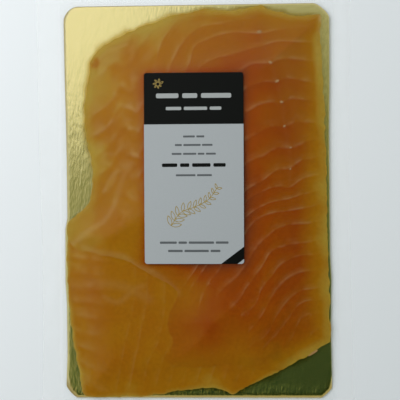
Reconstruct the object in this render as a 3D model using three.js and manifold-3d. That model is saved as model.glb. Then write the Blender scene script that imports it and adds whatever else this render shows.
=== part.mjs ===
// A vacuum pack of sliced smoked salmon, lying with its face up.
//
// Two webs of clear film are welded together round their edge. Between them lie
// a gold-faced card board and two slices of salmon, and a paper label is stuck
// on the front web. The air is drawn out, so the front web hugs what it covers.
//
// Units are millimetres, +Z up. +X runs to the right of the pack's face and +Y to
// its mouth end. The origin is under the middle of the pouch. Every piece is laid
// out from the board's centre, and one group then moves them all into place.

import * as THREE from 'three';
import Module from 'manifold-3d';
import { mergeVertices, toCreasedNormals } from 'three/addons/utils/BufferGeometryUtils.js';

const wasm = await Module();
wasm.setup();

// ---------------------------------------------------------------- dimensions

const GAP = 0.3; // air between two pieces that lie on each other

const BOARD = { width: 165, length: 243, thickness: 1.0 };

// Each web stands for film about 0.1 thick, wrinkles and all.
const WEB = 0.3;

// The pouch's ends, measured from the board's centre. The mouth end has the
// longer margin, because the board is pushed down to the closed end.
const POUCH = { mouthEnd: 154, closedEnd: -144 };

// How far each side of the pouch stands from the board's centre line, given as
// [x, y] from the mouth end down. The vacuum draws both sides in at the middle.
const POUCH_LEFT = [
  [-99.9, 154], [-99.2, 90], [-98.2, 25], [-96.8, -30], [-96.6, -85], [-97.6, -144],
];
const POUCH_RIGHT = [
  [95.4, 154], [94.5, 70], [94.1, 0], [94.7, -60], [95.9, -110], [96.5, -144],
];

// A slice is thinnest at its cut edge and full over the stretch called taper.
const LOWER_SLICE = { rim: 1.0, full: 2.5, taper: 12, swell: 0 };
const UPPER_SLICE = { rim: 1.3, full: 2.8, taper: 10, swell: 0.15 };
const SWELL_LENGTH = { x: 74, y: 58 }; // spacing of the upper slice's low waves

const LABEL = {
  width: 60.9, length: 117.1, thickness: 0.2, x: -1.6, y: 20.15, corner: 1.6,
  turn: THREE.MathUtils.degToRad(-0.14),
};

// How far each corner of the board is cut back along its end and its side, and
// how round the cut is: 0 is a straight snip and 0.55 a quarter circle.
const BOARD_CORNERS = {
  bottomLeft: { end: 7.0, side: 7.5, round: 0.22 },
  bottomRight: { end: 7.0, side: 6.5, round: 0.22 },
  topRight: { end: 10.0, side: 9.0, round: 0.32 },
  topLeft: { end: 9.0, side: 9.0, round: 0.5 },
};

// ------------------------------------------------------------------ outlines

// The upper slice covers most of the board. The first list follows its outer
// edge up the left side, along the top and down the right side.
const UPPER_OUTER_EDGE = [
  [-81.6, -24], [-80.2, -12.4], [-69, -2.6], [-64.8, 8], [-64.9, 19], [-68.6, 43],
  [-70.8, 60], [-68.6, 75], [-65.4, 87], [-65, 93.4], [-54.5, 101.2], [-36, 108.5],
  [-11, 117.8], [7.5, 119.8], [38, 120.8], [51, 116.6], [74.5, 113.4], [76.6, 110],
  [76, 99], [78.2, 70], [79.3, 20], [80.4, -30], [81.4, -65], [81.6, -87.4],
  [68, -96.6],
];
// The second follows the edge that lies across the lower slice, back to the left.
const UPPER_LAID_EDGE = [
  [54, -103.4], [40, -103.6], [22, -100.2], [2, -102.4], [-19.5, -99], [-15.6, -87.5],
  [-18.8, -74], [-12.4, -56.5], [-29, -44.6], [-43, -36.6], [-68, -31],
];

// The lower slice shows at the bottom left, along its outer edge.
const LOWER_OUTER_EDGE = [
  [-81.7, -38], [-81, -50], [-79.4, -72], [-76.4, -92], [-73, -110], [-71.4, -119.6],
  [-66, -120.6], [-36, -120.4], [-20.4, -118.8], [-11, -116.8], [-1.9, -115.7],
  [8, -115.7], [17, -117], [21.8, -119.4], [35.4, -113.2], [48, -106.6],
];
// The rest of it is tucked under the upper slice.
const LOWER_TUCKED_EDGE = [
  [57, -94], [61, -50], [61, 0], [60, 50], [52, 86], [25, 97], [-15, 95], [-38, 82],
  [-47, 50], [-50, 12], [-62, -13], [-78, -28],
];

function closedOutline(points, samples) {
  const corners = points.map(([x, y]) => new THREE.Vector3(x, y, 0));
  const curve = new THREE.CatmullRomCurve3(corners, true, 'centripetal');
  return curve.getSpacedPoints(samples).slice(0, -1);
}

function pouchSide(points) {
  const corners = points.map(([x, y]) => new THREE.Vector3(x, y, 0));
  return new THREE.CatmullRomCurve3(corners).getPoints(10);
}

const upperOutline = closedOutline([...UPPER_OUTER_EDGE, ...UPPER_LAID_EDGE], 120);
const lowerOutline = closedOutline([...LOWER_OUTER_EDGE, ...LOWER_TUCKED_EDGE], 100);
const pouchOutline = [...pouchSide(POUCH_LEFT), ...pouchSide(POUCH_RIGHT).reverse()];

function boardShape() {
  const { bottomLeft, bottomRight, topRight, topLeft } = BOARD_CORNERS;
  const right = BOARD.width / 2;
  const top = BOARD.length / 2;
  const shape = new THREE.Shape();

  // One corner, from the edge that arrives at it to the edge that leaves it. in
  // and out are the unit steps along those edges, both in walking direction.
  function turnCorner(x, y, stepIn, stepOut, lengthIn, lengthOut, round) {
    const start = [x - stepIn[0] * lengthIn, y - stepIn[1] * lengthIn];
    const end = [x + stepOut[0] * lengthOut, y + stepOut[1] * lengthOut];
    shape.lineTo(start[0], start[1]);
    shape.bezierCurveTo(
      start[0] + stepIn[0] * lengthIn * round, start[1] + stepIn[1] * lengthIn * round,
      end[0] - stepOut[0] * lengthOut * round, end[1] - stepOut[1] * lengthOut * round,
      end[0], end[1],
    );
  }

  shape.moveTo(0, -top);
  turnCorner(right, -top, [1, 0], [0, 1], bottomRight.end, bottomRight.side, bottomRight.round);
  turnCorner(right, top, [0, 1], [-1, 0], topRight.side, topRight.end, topRight.round);
  turnCorner(-right, top, [-1, 0], [0, -1], topLeft.end, topLeft.side, topLeft.round);
  turnCorner(-right, -top, [0, -1], [1, 0], bottomLeft.side, bottomLeft.end, bottomLeft.round);
  shape.closePath();
  return shape;
}

function labelShape() {
  const { width, length, corner } = LABEL;
  const right = width / 2;
  const top = length / 2;
  const shape = new THREE.Shape();
  shape.absarc(right - corner, top - corner, corner, 0, Math.PI / 2);
  shape.absarc(corner - right, top - corner, corner, Math.PI / 2, Math.PI);
  shape.absarc(corner - right, corner - top, corner, Math.PI, Math.PI * 1.5);
  shape.absarc(right - corner, corner - top, corner, Math.PI * 1.5, Math.PI * 2);
  shape.closePath();
  return shape;
}

// -------------------------------------------------------------------- levels

const BOARD_FLOOR = WEB + GAP;
const BOARD_TOP = BOARD_FLOOR + BOARD.thickness;
const SALMON_FLOOR = BOARD_TOP + GAP;

// Every draped surface is sampled on one grid and runs flat between its lines,
// so two surfaces that keep their distance on the grid keep it everywhere.
const CELL = 7.6;
const BOARD_EDGE_CLEARANCE = 0.6; // from the board's edge to the first line past it
const MARGIN_FOOT = 6.0; // from the board's edge to where the webs meet flat
const OVERHANG = 2; // the grid reaches this far past the pouch

function gridLines(halfBoard, low, high) {
  const edge = halfBoard + BOARD_EDGE_CLEARANCE;
  const foot = halfBoard + MARGIN_FOOT;
  const cells = Math.ceil((2 * edge) / CELL);
  const across = Array.from({ length: cells + 1 }, (_, i) => -edge + (2 * edge * i) / cells);
  return [low - OVERHANG, -foot, ...across, foot, high + OVERHANG];
}

const columns = gridLines(BOARD.width / 2, POUCH_LEFT[0][0], POUCH_RIGHT.at(-1)[0]);
const rows = gridLines(BOARD.length / 2, POUCH.closedEnd, POUCH.mouthEnd);

// A piece's height is carried past its outline as far as one cell's diagonal,
// and falls away over DRAPE beyond that.
const REACH = CELL * Math.SQRT2;
const DRAPE = 9;
const FILM_DRAPE = 5;

// Distance from a point to an outline, positive inside it.
function depthInside(outline, x, y) {
  let nearest = Infinity;
  let inside = false;
  outline.forEach((a, i) => {
    const b = outline[(i + 1) % outline.length];
    const dx = b.x - a.x;
    const dy = b.y - a.y;
    const along = ((x - a.x) * dx + (y - a.y) * dy) / (dx * dx + dy * dy);
    const t = THREE.MathUtils.clamp(along, 0, 1);
    nearest = Math.min(nearest, Math.hypot(x - a.x - dx * t, y - a.y - dy * t));
    if (a.y > y !== b.y > y && x < a.x + (dx * (y - a.y)) / dy) inside = !inside;
  });
  return inside ? nearest : -nearest;
}

function sliceThickness(slice, depth, x, y) {
  const fill = THREE.MathUtils.smoothstep(depth, 0, slice.taper);
  const wave = Math.sin(x / SWELL_LENGTH.x * Math.PI * 2) * Math.cos(y / SWELL_LENGTH.y * Math.PI * 2);
  return slice.rim + (slice.full - slice.rim + slice.swell * wave) * fill;
}

// How much of a piece's height reaches a point at this depth, from 1 to 0.
const cover = (depth, drape) => 1 - THREE.MathUtils.smoothstep(-depth, REACH, REACH + drape);

const lowerTop = (x, y) => SALMON_FLOOR + sliceThickness(LOWER_SLICE, depthInside(lowerOutline, x, y), x, y);

function upperFloor(x, y) {
  const rise = lowerTop(x, y) + GAP - SALMON_FLOOR;
  return SALMON_FLOOR + rise * cover(depthInside(lowerOutline, x, y), DRAPE);
}

function upperTop(x, y) {
  return upperFloor(x, y) + sliceThickness(UPPER_SLICE, depthInside(upperOutline, x, y), x, y);
}

// The front web rests on whatever stands highest: the flat margin of the back
// web, the board or a slice.
function frontWebFloor(x, y) {
  const margin = WEB + GAP;
  const pastBoard = Math.max(
    Math.abs(x) - BOARD.width / 2 - BOARD_EDGE_CLEARANCE,
    Math.abs(y) - BOARD.length / 2 - BOARD_EDGE_CLEARANCE,
  );
  if (pastBoard > 0.01) return margin;
  const overBoard = SALMON_FLOOR;
  const heights = [[lowerOutline, lowerTop], [upperOutline, upperTop]].map(([outline, top]) => {
    const rise = top(x, y) + GAP - overBoard;
    return overBoard + rise * cover(depthInside(outline, x, y), FILM_DRAPE);
  });
  return Math.max(...heights);
}

const frontWebTop = (x, y) => frontWebFloor(x, y) + WEB;
const labelFloor = (x, y) => frontWebTop(x, y) + GAP;
const labelTop = (x, y) => labelFloor(x, y) + LABEL.thickness;

// -------------------------------------------------------------- solid making

// A closed slab over the whole grid, between two height functions.
function slab(floorAt, topAt) {
  const across = columns.length;
  const along = rows.length;
  const positions = [];
  for (const heightAt of [floorAt, topAt]) {
    for (const y of rows) {
      for (const x of columns) positions.push(x, y, heightAt(x, y));
    }
  }
  const layer = across * along;
  const faces = [];
  const quad = (a, b, c, d) => faces.push(a, b, c, a, c, d);

  for (let j = 0; j < along - 1; j += 1) {
    for (let i = 0; i < across - 1; i += 1) {
      const [a, b] = [j * across + i, j * across + i + 1];
      const [c, d] = [b + across, a + across];
      // The diagonals alternate, and run alike in the floor and the top.
      const ring = (i + j) % 2 ? [a, b, c, d] : [b, c, d, a];
      quad(...ring.map((v) => v + layer));
      quad(ring[2], ring[1], ring[0], ring[3]);
    }
  }
  const wall = (a, b) => quad(a, b, b + layer, a + layer);
  for (let i = 0; i < across - 1; i += 1) {
    const last = (along - 1) * across;
    wall(i, i + 1);
    wall(last + i + 1, last + i);
  }
  for (let j = 0; j < along - 1; j += 1) {
    const last = across - 1;
    wall((j + 1) * across, j * across);
    wall(j * across + last, (j + 1) * across + last);
  }
  const geometry = new THREE.BufferGeometry();
  geometry.setAttribute('position', new THREE.Float32BufferAttribute(positions, 3));
  geometry.setIndex(faces);
  return geometry;
}

const CREASE = THREE.MathUtils.degToRad(35); // a sharper bend than this shows as an edge

function toSolid(geometry) {
  const bare = geometry.clone();
  bare.deleteAttribute('normal');
  bare.deleteAttribute('uv');
  const merged = mergeVertices(bare);
  return new wasm.Manifold(new wasm.Mesh({
    numProp: 3,
    vertProperties: new Float32Array(merged.attributes.position.array),
    triVerts: new Uint32Array(merged.index.array),
  }));
}

function toGeometry(solid) {
  const mesh = solid.getMesh();
  const geometry = new THREE.BufferGeometry();
  geometry.setAttribute('position', new THREE.BufferAttribute(mesh.vertProperties, 3));
  geometry.setIndex(new THREE.BufferAttribute(mesh.triVerts, 1));
  return toCreasedNormals(geometry, CREASE);
}

function plate(shape, thickness, curveSegments = 6) {
  return new THREE.ExtrudeGeometry(shape, { depth: thickness, bevelEnabled: false, curveSegments });
}

// The part of a draped slab that lies inside an upright cutter.
function drapedPiece(floorAt, topAt, cutter) {
  return toGeometry(toSolid(slab(floorAt, topAt)).intersect(toSolid(cutter)));
}

const CUTTER_HEIGHT = 20;
const outlineCutter = (outline) => plate(new THREE.Shape(outline), CUTTER_HEIGHT);

// -------------------------------------------------------------------- pieces

const finishes = {
  film: new THREE.MeshStandardMaterial({
    name: 'clear_film', color: 0xeef1f3, roughness: 0.12, metalness: 0, transparent: true, opacity: 0.25,
  }),
  gold: new THREE.MeshStandardMaterial({ name: 'gold_board', color: 0xcbbb72, roughness: 0.38, metalness: 0.7 }),
  upperFlesh: new THREE.MeshStandardMaterial({ name: 'salmon_upper', color: 0xb5611c, roughness: 0.4, metalness: 0 }),
  lowerFlesh: new THREE.MeshStandardMaterial({ name: 'salmon_lower', color: 0xb9751a, roughness: 0.4, metalness: 0 }),
  label: new THREE.MeshStandardMaterial({ name: 'label_paper', color: 0xc9cdd0, roughness: 0.5, metalness: 0 }),
};

function piece(name, geometry, material, floor = 0) {
  const mesh = new THREE.Mesh(geometry, material);
  mesh.name = name;
  mesh.position.z = floor;
  return mesh;
}

function label() {
  const cutter = plate(labelShape(), CUTTER_HEIGHT);
  cutter.rotateZ(LABEL.turn);
  cutter.translate(LABEL.x, LABEL.y, 0);
  return drapedPiece(labelFloor, labelTop, cutter);
}

const layout = new THREE.Group();
layout.add(
  piece('pouch_back', plate(new THREE.Shape(pouchOutline), WEB), finishes.film),
  piece('board', plate(boardShape(), BOARD.thickness), finishes.gold, BOARD_FLOOR),
  piece('slice_lower', drapedPiece(() => SALMON_FLOOR, lowerTop, outlineCutter(lowerOutline)), finishes.lowerFlesh),
  piece('slice_upper', drapedPiece(upperFloor, upperTop, outlineCutter(upperOutline)), finishes.upperFlesh),
  piece('pouch_front', drapedPiece(frontWebFloor, frontWebTop, outlineCutter(pouchOutline)), finishes.film),
  piece('label', label(), finishes.label),
);

// The middle of the pouch's box stands over the origin.
const pouchBox = new THREE.Box2().setFromPoints(pouchOutline);
const pouchMiddle = pouchBox.getCenter(new THREE.Vector2());
layout.position.set(-pouchMiddle.x, -pouchMiddle.y, 0);

const pack = new THREE.Group();
pack.add(layout);

export default pack;
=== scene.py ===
"""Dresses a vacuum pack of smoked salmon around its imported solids.

The pack lies face up: a web of clear film at the front and one at the back, a
gold-faced card board, two slices of salmon and a paper label. Places on the
pack's face are rows of x and y in millimetres from the board's centre, +X to
the right and +Y to the mouth end. Heights are in millimetres above the table.
Meshes are made in metres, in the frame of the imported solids.
"""

import logging
import math
from dataclasses import dataclass, field
from enum import Enum

import bpy
import numpy as np
from bpy.types import Material, Mesh, Node, NodeSocket, NodeTree, Object
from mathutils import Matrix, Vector, geometry


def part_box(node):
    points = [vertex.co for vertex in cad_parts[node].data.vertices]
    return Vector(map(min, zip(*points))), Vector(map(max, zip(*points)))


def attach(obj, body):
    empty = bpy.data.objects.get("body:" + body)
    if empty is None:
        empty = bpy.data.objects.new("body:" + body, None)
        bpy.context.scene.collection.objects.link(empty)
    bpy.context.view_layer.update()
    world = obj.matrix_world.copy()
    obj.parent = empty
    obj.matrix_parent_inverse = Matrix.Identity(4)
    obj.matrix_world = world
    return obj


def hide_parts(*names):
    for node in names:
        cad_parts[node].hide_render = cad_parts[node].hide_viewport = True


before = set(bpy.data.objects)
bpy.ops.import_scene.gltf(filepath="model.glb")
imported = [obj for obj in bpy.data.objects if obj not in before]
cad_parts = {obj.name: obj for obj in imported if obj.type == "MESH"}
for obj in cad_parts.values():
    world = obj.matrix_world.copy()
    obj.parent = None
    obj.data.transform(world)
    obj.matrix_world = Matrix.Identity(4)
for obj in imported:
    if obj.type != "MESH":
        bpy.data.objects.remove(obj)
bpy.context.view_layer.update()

LOG = logging.getLogger("salmon_pack")
MM = 0.001


# --- the frame

def node_box(node: str) -> tuple[np.ndarray, np.ndarray]:
    """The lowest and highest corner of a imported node, in millimetres."""
    low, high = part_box(node)
    return np.array(low) / MM, np.array(high) / MM


BOARD_LOW, BOARD_HIGH = node_box("board")
BOARD_CENTRE = (BOARD_LOW[:2] + BOARD_HIGH[:2]) / 2
BOARD_SIZE = BOARD_HIGH[:2] - BOARD_LOW[:2]
BOARD_TOP = float(BOARD_HIGH[2])
LOWER_TOP = float(node_box("slice_lower")[1][2])
UPPER_TOP = float(node_box("slice_upper")[1][2])
BACK_WEB_TOP = float(node_box("pouch_back")[1][2])
CONTACT = 0.03  # the hair's breadth left between two pieces that touch


# --- small helpers

def linear(code: str) -> tuple[float, ...]:
    """Turns six hex digits of sRGB into linear red, green, blue and an alpha of 1, for a colour socket."""
    channels = [int(code[i:i + 2], 16) / 255 for i in (0, 2, 4)]
    return tuple(c / 12.92 if c <= 0.04045 else ((c + 0.055) / 1.055) ** 2.4 for c in channels) + (1.0,)


def add(tree: NodeTree, kind: str, links: dict | None = None, **settings) -> Node:
    """Adds a node to a tree, sets it up and joins its inputs.

    Args:
        tree: the shader or geometry tree.
        kind: the node's Blender type name.
        links: input name or number, and what feeds it: a value, an output socket or a node,
            which stands for its first output.
        settings: properties of the node itself.

    Returns:
        The new node.
    """
    node = tree.nodes.new(kind)
    for name, value in settings.items():
        setattr(node, name, value)
    for key, value in (links or {}).items():
        value = value.outputs[0] if isinstance(value, Node) else value
        if isinstance(value, NodeSocket):
            tree.links.new(value, node.inputs[key])
        else:
            node.inputs[key].default_value = value
    return node


def calc(tree: NodeTree, operation: str, *values, clamp: bool = False) -> Node:
    """Adds one step of arithmetic."""
    return add(tree, "ShaderNodeMath", dict(enumerate(values)), operation=operation, use_clamp=clamp)


def smoothstep(value: np.ndarray, low: float, high: float) -> np.ndarray:
    """Rises smoothly from 0 at low to 1 at high."""
    t = np.clip((value - low) / (high - low), 0, 1)
    return t * t * (3 - 2 * t)


def blend(grid: np.ndarray, near: np.ndarray, far: np.ndarray, t: np.ndarray) -> np.ndarray:
    """Blends a grid's values over each cell, from its near corner to its far one."""
    low, high = (grid[near[:, 0], row] * (1 - t[:, 0]) + grid[far[:, 0], row] * t[:, 0]
                 for row in (near[:, 1], far[:, 1]))
    return low * (1 - t[:, 1]) + high * t[:, 1]


def ripple(points: np.ndarray, size: float, seed: int, stretch: float = 1.0) -> np.ndarray:
    """Smooth noise between -1 and 1.

    Args:
        points: rows of x and y.
        size: how wide one swell of the noise is, in millimetres.
        seed: picks the pattern.
        stretch: how many times longer a swell is along Y.

    Returns:
        One value for each point.
    """
    count = 64
    lattice = np.random.default_rng(seed).uniform(-1, 1, (count, count))
    cell = points / (size, size * stretch)
    base = np.floor(cell).astype(int)
    return blend(lattice, base % count, (base + 1) % count, smoothstep(cell - base, 0, 1))


# --- curves on the face

def spline(knots: list, step: float, closed: bool = False) -> np.ndarray:
    """Draws a centripetal Catmull-Rom curve through some points.

    Args:
        knots: the x and y that the curve passes through.
        step: the distance between two points of the result.
        closed: whether the last point joins the first.

    Returns:
        Rows of x and y at equal steps. A closed curve doesn't repeat its start.
    """
    p = np.asarray(knots, float)
    p = np.vstack([p[-1:], p, p[:2]]) if closed else np.vstack([2 * p[0] - p[1], p, 2 * p[-1] - p[-2]])
    gap = np.linalg.norm(np.diff(p, axis=0), axis=1)[:, None] ** 0.5
    t = np.linspace(0, 1, 24, endpoint=False)[:, None]
    drawn = []
    for i in range(1, len(p) - 2):
        a, b, c = gap[i - 1:i + 2]
        start = b * ((p[i] - p[i - 1]) / a - (p[i + 1] - p[i - 1]) / (a + b)) + p[i + 1] - p[i]
        end = b * ((p[i + 2] - p[i + 1]) / c - (p[i + 2] - p[i]) / (b + c)) + p[i + 1] - p[i]
        drawn.append((2 * t**3 - 3 * t**2 + 1) * p[i] + (t**3 - 2 * t**2 + t) * start
                     + (3 * t**2 - 2 * t**3) * p[i + 1] + (t**3 - t**2) * end)
    drawn = np.vstack([*drawn, p[-2:-1]])
    along = np.append(0, np.cumsum(np.linalg.norm(np.diff(drawn, axis=0), axis=1)))
    at = np.linspace(0, along[-1], max(4, round(along[-1] / step)) + 1)
    even = np.stack([np.interp(at, along, drawn[:, i]) for i in (0, 1)], axis=1)
    return even[:-1] if closed else even


def evened(outline: np.ndarray, step: float) -> np.ndarray:
    """Adds points along a closed outline, so that no two lie further apart than step."""
    return np.vstack([np.linspace(a, b, math.ceil(np.linalg.norm(b - a) / step), endpoint=False)
                      for a, b in zip(outline, np.roll(outline, -1, axis=0))])


def outward(outline: np.ndarray) -> np.ndarray:
    """The direction straight out of an anticlockwise outline at each of its points."""
    forward = np.roll(outline, -1, axis=0) - np.roll(outline, 1, axis=0)
    return np.column_stack([forward[:, 1], -forward[:, 0]]) / np.linalg.norm(forward, axis=1)[:, None]


def batches(points: np.ndarray, most: int = 4000) -> list[np.ndarray]:
    """Splits the points' row numbers into lots that can be measured at once."""
    return np.array_split(np.arange(len(points)), len(points) // most + 1)


def nearest(path: np.ndarray, points: np.ndarray) -> tuple[np.ndarray, np.ndarray]:
    """Measures how far points lie from an open path.

    Args:
        path: rows of x and y, in walking order.
        points: rows of x and y.

    Returns:
        Each point's distance, and its side: 1 to the left of the path, -1 to the right.
    """
    start, step = path[:-1], np.diff(path, axis=0)
    squares = (step**2).sum(1)
    distance, side = np.empty(len(points)), np.empty(len(points))
    for rows in batches(points):
        away = points[rows, None] - start
        t = np.clip((away * step).sum(-1) / squares, 0, 1)
        gap = ((away - t[..., None] * step) ** 2).sum(-1)
        best = gap.argmin(1)
        pick = np.arange(len(rows))
        distance[rows] = np.sqrt(gap[pick, best])
        side[rows] = np.sign(step[best, 0] * away[pick, best, 1] - step[best, 1] * away[pick, best, 0])
    return distance, side


def depth_inside(outline: np.ndarray, points: np.ndarray) -> np.ndarray:
    """The distance from each point to a closed outline, positive inside it."""
    ring = np.vstack([outline, outline[:1]])
    distance, _ = nearest(ring, points)
    x, y = points[:, :1], points[:, 1:]
    a, b = ring[:-1], ring[1:]
    inside = np.zeros(len(points), bool)
    for rows in batches(points):
        spans = (a[:, 1] > y[rows]) != (b[:, 1] > y[rows])
        rise = np.where(b[:, 1] == a[:, 1], 1e-9, b[:, 1] - a[:, 1])
        meets = a[:, 0] + (b[:, 0] - a[:, 0]) * (y[rows] - a[:, 1]) / rise
        inside[rows] = (spans & (x[rows] < meets)).sum(1) % 2 == 1
    return np.where(inside, distance, -distance)


# --- making meshes

@dataclass
class FlatMesh:
    """Triangles that fill an outline, before they are given any height."""

    points: np.ndarray
    faces: np.ndarray

    @classmethod
    def fill(cls, outline: np.ndarray, spacing: float, edge_gap: float = 0.6,
             rings: tuple[float, ...] = ()) -> "FlatMesh":
        """Fills an outline with even triangles.

        Args:
            outline: rows of x and y, anticlockwise.
            spacing: the distance between inner points.
            edge_gap: how many spacings stay clear inside the outline.
            rings: how far inside the outline further rows of points follow it.

        Returns:
            The triangles, anticlockwise from above.
        """
        low, high = outline.min(0), outline.max(0)
        rows = np.arange(low[1], high[1], spacing * math.sqrt(3) / 2)
        columns = np.arange(low[0], high[0], spacing)
        grid = [np.column_stack([columns + (i % 2) * spacing / 2, np.full(len(columns), y)])
                for i, y in enumerate(rows)]
        inner = np.vstack(grid)
        inner = inner[depth_inside(outline, inner) > spacing * edge_gap + max(rings, default=0)]
        for ring in rings:
            row = outline - outward(outline) * ring
            inner = np.vstack([inner, row[depth_inside(outline, row) > 0.9 * ring]])
        count = len(outline)
        edges = [(i, (i + 1) % count) for i in range(count)]
        found = geometry.delaunay_2d_cdt([Vector(p) for p in np.vstack([outline, inner])], edges, [], 1, 1e-6)
        points = np.array([tuple(v) for v in found[0]])
        faces = np.array([f for f in found[2] if len(f) == 3])
        a, b, c = points[faces[:, 0]], points[faces[:, 1]], points[faces[:, 2]]
        turn = (b - a)[:, 0] * (c - a)[:, 1] - (b - a)[:, 1] * (c - a)[:, 0]
        faces[turn < 0] = faces[turn < 0][:, ::-1]
        return cls(points, faces)

    def rim(self) -> np.ndarray:
        """The edges round the outside, each from its start to its end."""
        edges = np.vstack([self.faces[:, [0, 1]], self.faces[:, [1, 2]], self.faces[:, [2, 0]]])
        known = {(a, b) for a, b in edges.tolist()}
        return np.array([(a, b) for a, b in edges.tolist() if (b, a) not in known])

    def solid(self, name: str, floor: np.ndarray, top: np.ndarray,
              values: dict[str, np.ndarray] | None = None) -> Object:
        """Makes a closed piece between two heights.

        Args:
            name: the piece's name.
            floor: the underside's height at each point.
            top: the upper side's height at each point.
            values: named numbers to keep on the points, for the material.

        Returns:
            The object. Faces of its top, underside and edge have material slots 0, 1 and 2.
        """
        count = len(self.points)
        xy = self.points + BOARD_CENTRE
        corners = np.vstack([np.column_stack([xy, top]), np.column_stack([xy, floor])]) * MM
        rim = self.rim()
        wall = np.column_stack([rim[:, 0] + count, rim[:, 1] + count, rim[:, 1], rim[:, 0]])
        faces = self.faces.tolist() + (self.faces[:, ::-1] + count).tolist() + wall.tolist()
        mesh = bpy.data.meshes.new(name)
        mesh.from_pydata(corners.tolist(), [], faces)
        side = np.repeat([0, 1, 2], [len(self.faces), len(self.faces), len(wall)])
        mesh.polygons.foreach_set("material_index", side.astype(np.int32))
        keep(mesh, {key: np.tile(value, 2) for key, value in (values or {}).items()})
        mesh.shade_smooth()
        mesh.set_sharp_from_angle(angle=math.radians(50))
        return place(name, mesh)


def keep(mesh: Mesh, values: dict[str, np.ndarray]) -> None:
    """Keeps named numbers on a mesh's points."""
    for name, numbers in values.items():
        layer = mesh.attributes.new(name, "FLOAT", "POINT")
        layer.data.foreach_set("value", np.asarray(numbers, np.float32))


def place(name: str, shape: bpy.types.ID) -> Object:
    """Puts a mesh, a lamp or a lens into the scene as an object at the origin."""
    obj = bpy.data.objects.new(name, shape)
    bpy.context.scene.collection.objects.link(obj)
    return obj


def settle(obj: Object, finishes: list[Material], node: str | None = None) -> Object:
    """Gives a finished piece its materials and its place in the frame.

    Args:
        obj: the piece.
        finishes: its materials, in the order of its slots.
        node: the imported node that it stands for.

    Returns:
        The same piece.
    """
    obj.data.materials.clear()
    for finish in finishes:
        obj.data.materials.append(finish)
    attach(obj, "root")
    if node:
        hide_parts(node)
    LOG.info("%s: %d faces, %s", obj.name, len(obj.data.polygons), finishes[0].name)
    return obj


def grow(tree: NodeTree, base: Mesh, values: dict) -> Mesh:
    """Runs a geometry tree on a mesh and keeps the result as a plain mesh.

    Args:
        tree: the tree, whose inputs are named.
        base: the mesh that it starts from.
        values: input name and value.

    Returns:
        The new mesh.
    """
    carrier = place(tree.name, base)
    modifier = carrier.modifiers.new(tree.name, "NODES")
    modifier.node_group = tree
    for item in tree.interface.items_tree:
        if item.name in values:
            modifier[item.identifier] = values[item.name]
    evaluated = carrier.evaluated_get(bpy.context.evaluated_depsgraph_get())
    made = bpy.data.meshes.new_from_object(evaluated)
    carrier.modifiers.remove(modifier)
    bpy.data.objects.remove(carrier)
    return made


def new_tree(name: str, sockets: dict[str, str]) -> tuple[NodeTree, Node]:
    """Starts a geometry tree with a mesh input, a mesh output and named inputs.

    Args:
        name: the tree's name.
        sockets: input name and socket type.

    Returns:
        The tree and its input node.
    """
    tree = bpy.data.node_groups.new(name, "GeometryNodeTree")
    tree.interface.new_socket("Geometry", in_out="OUTPUT", socket_type="NodeSocketGeometry")
    tree.interface.new_socket("Geometry", in_out="INPUT", socket_type="NodeSocketGeometry")
    for key, kind in sockets.items():
        tree.interface.new_socket(key, in_out="INPUT", socket_type=kind)
    return tree, tree.nodes.new("NodeGroupInput")


def tube(tree: NodeTree, path: Node, radius: NodeSocket) -> Node:
    """Sweeps a closed, round line along a path."""
    section = add(tree, "GeometryNodeCurvePrimitiveCircle", {"Resolution": 6, "Radius": radius})
    return add(tree, "GeometryNodeCurveToMesh", {"Curve": path, "Profile Curve": section, "Fill Caps": True})


def end_tree(tree: NodeTree, shape: Node, finish: Material) -> NodeTree:
    """Ends a geometry tree with real, dressed copies, and gives it back."""
    real = add(tree, "GeometryNodeRealizeInstances", {0: shape})
    dressed = add(tree, "GeometryNodeSetMaterial", {"Geometry": real, "Material": finish})
    add(tree, "NodeGroupOutput", {0: dressed})
    return tree


def path_mesh(name: str, points: np.ndarray, heights: np.ndarray, closed: bool = False) -> Mesh:
    """A mesh of edges alone, which follows a path on the pack's face."""
    corners = np.column_stack([points + BOARD_CENTRE, heights]) * MM
    edges = [(i, i + 1) for i in range(len(points) - 1)] + ([(len(points) - 1, 0)] if closed else [])
    mesh = bpy.data.meshes.new(name)
    mesh.from_pydata(corners.tolist(), edges, [])
    return mesh


# --- materials

def noise(tree: NodeTree, spot: NodeSocket, size: float, detail: float) -> Node:
    """Adds noise whose swells are size millimetres wide."""
    return add(tree, "ShaderNodeTexNoise", {"Vector": spot, "Scale": 1 / (size * MM), "Detail": detail})


def ranged(tree: NodeTree, value: Node | NodeSocket, low: float, high: float,
           source: tuple[float, float] = (0.0, 1.0)) -> Node:
    """Maps a value from its source range to the one between low and high."""
    return add(tree, "ShaderNodeMapRange", {
        "Value": value, "From Min": source[0], "From Max": source[1], "To Min": low, "To Max": high})


def raised(tree: NodeTree, height: Node, tall: float, strength: float) -> Node:
    """Makes a normal of a height that is tall millimetres at 1."""
    return add(tree, "ShaderNodeBump", {"Height": height, "Distance": tall * MM, "Strength": strength})


def kept(tree: NodeTree, name: str) -> NodeSocket:
    """A number kept on the mesh's points."""
    return add(tree, "ShaderNodeAttribute", attribute_name=name).outputs["Fac"]


def tinted(tree: NodeTree, colour, amount: Node) -> Node:
    """Makes a colour darker or lighter."""
    return add(tree, "ShaderNodeVectorMath", {0: colour, 3: amount}, operation="SCALE")


def blended(tree: NodeTree, share, first, second) -> NodeSocket:
    """Goes over from one colour to another."""
    return add(tree, "ShaderNodeMix", {0: share, 6: first, 7: second}, data_type="RGBA").outputs[2]


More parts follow.
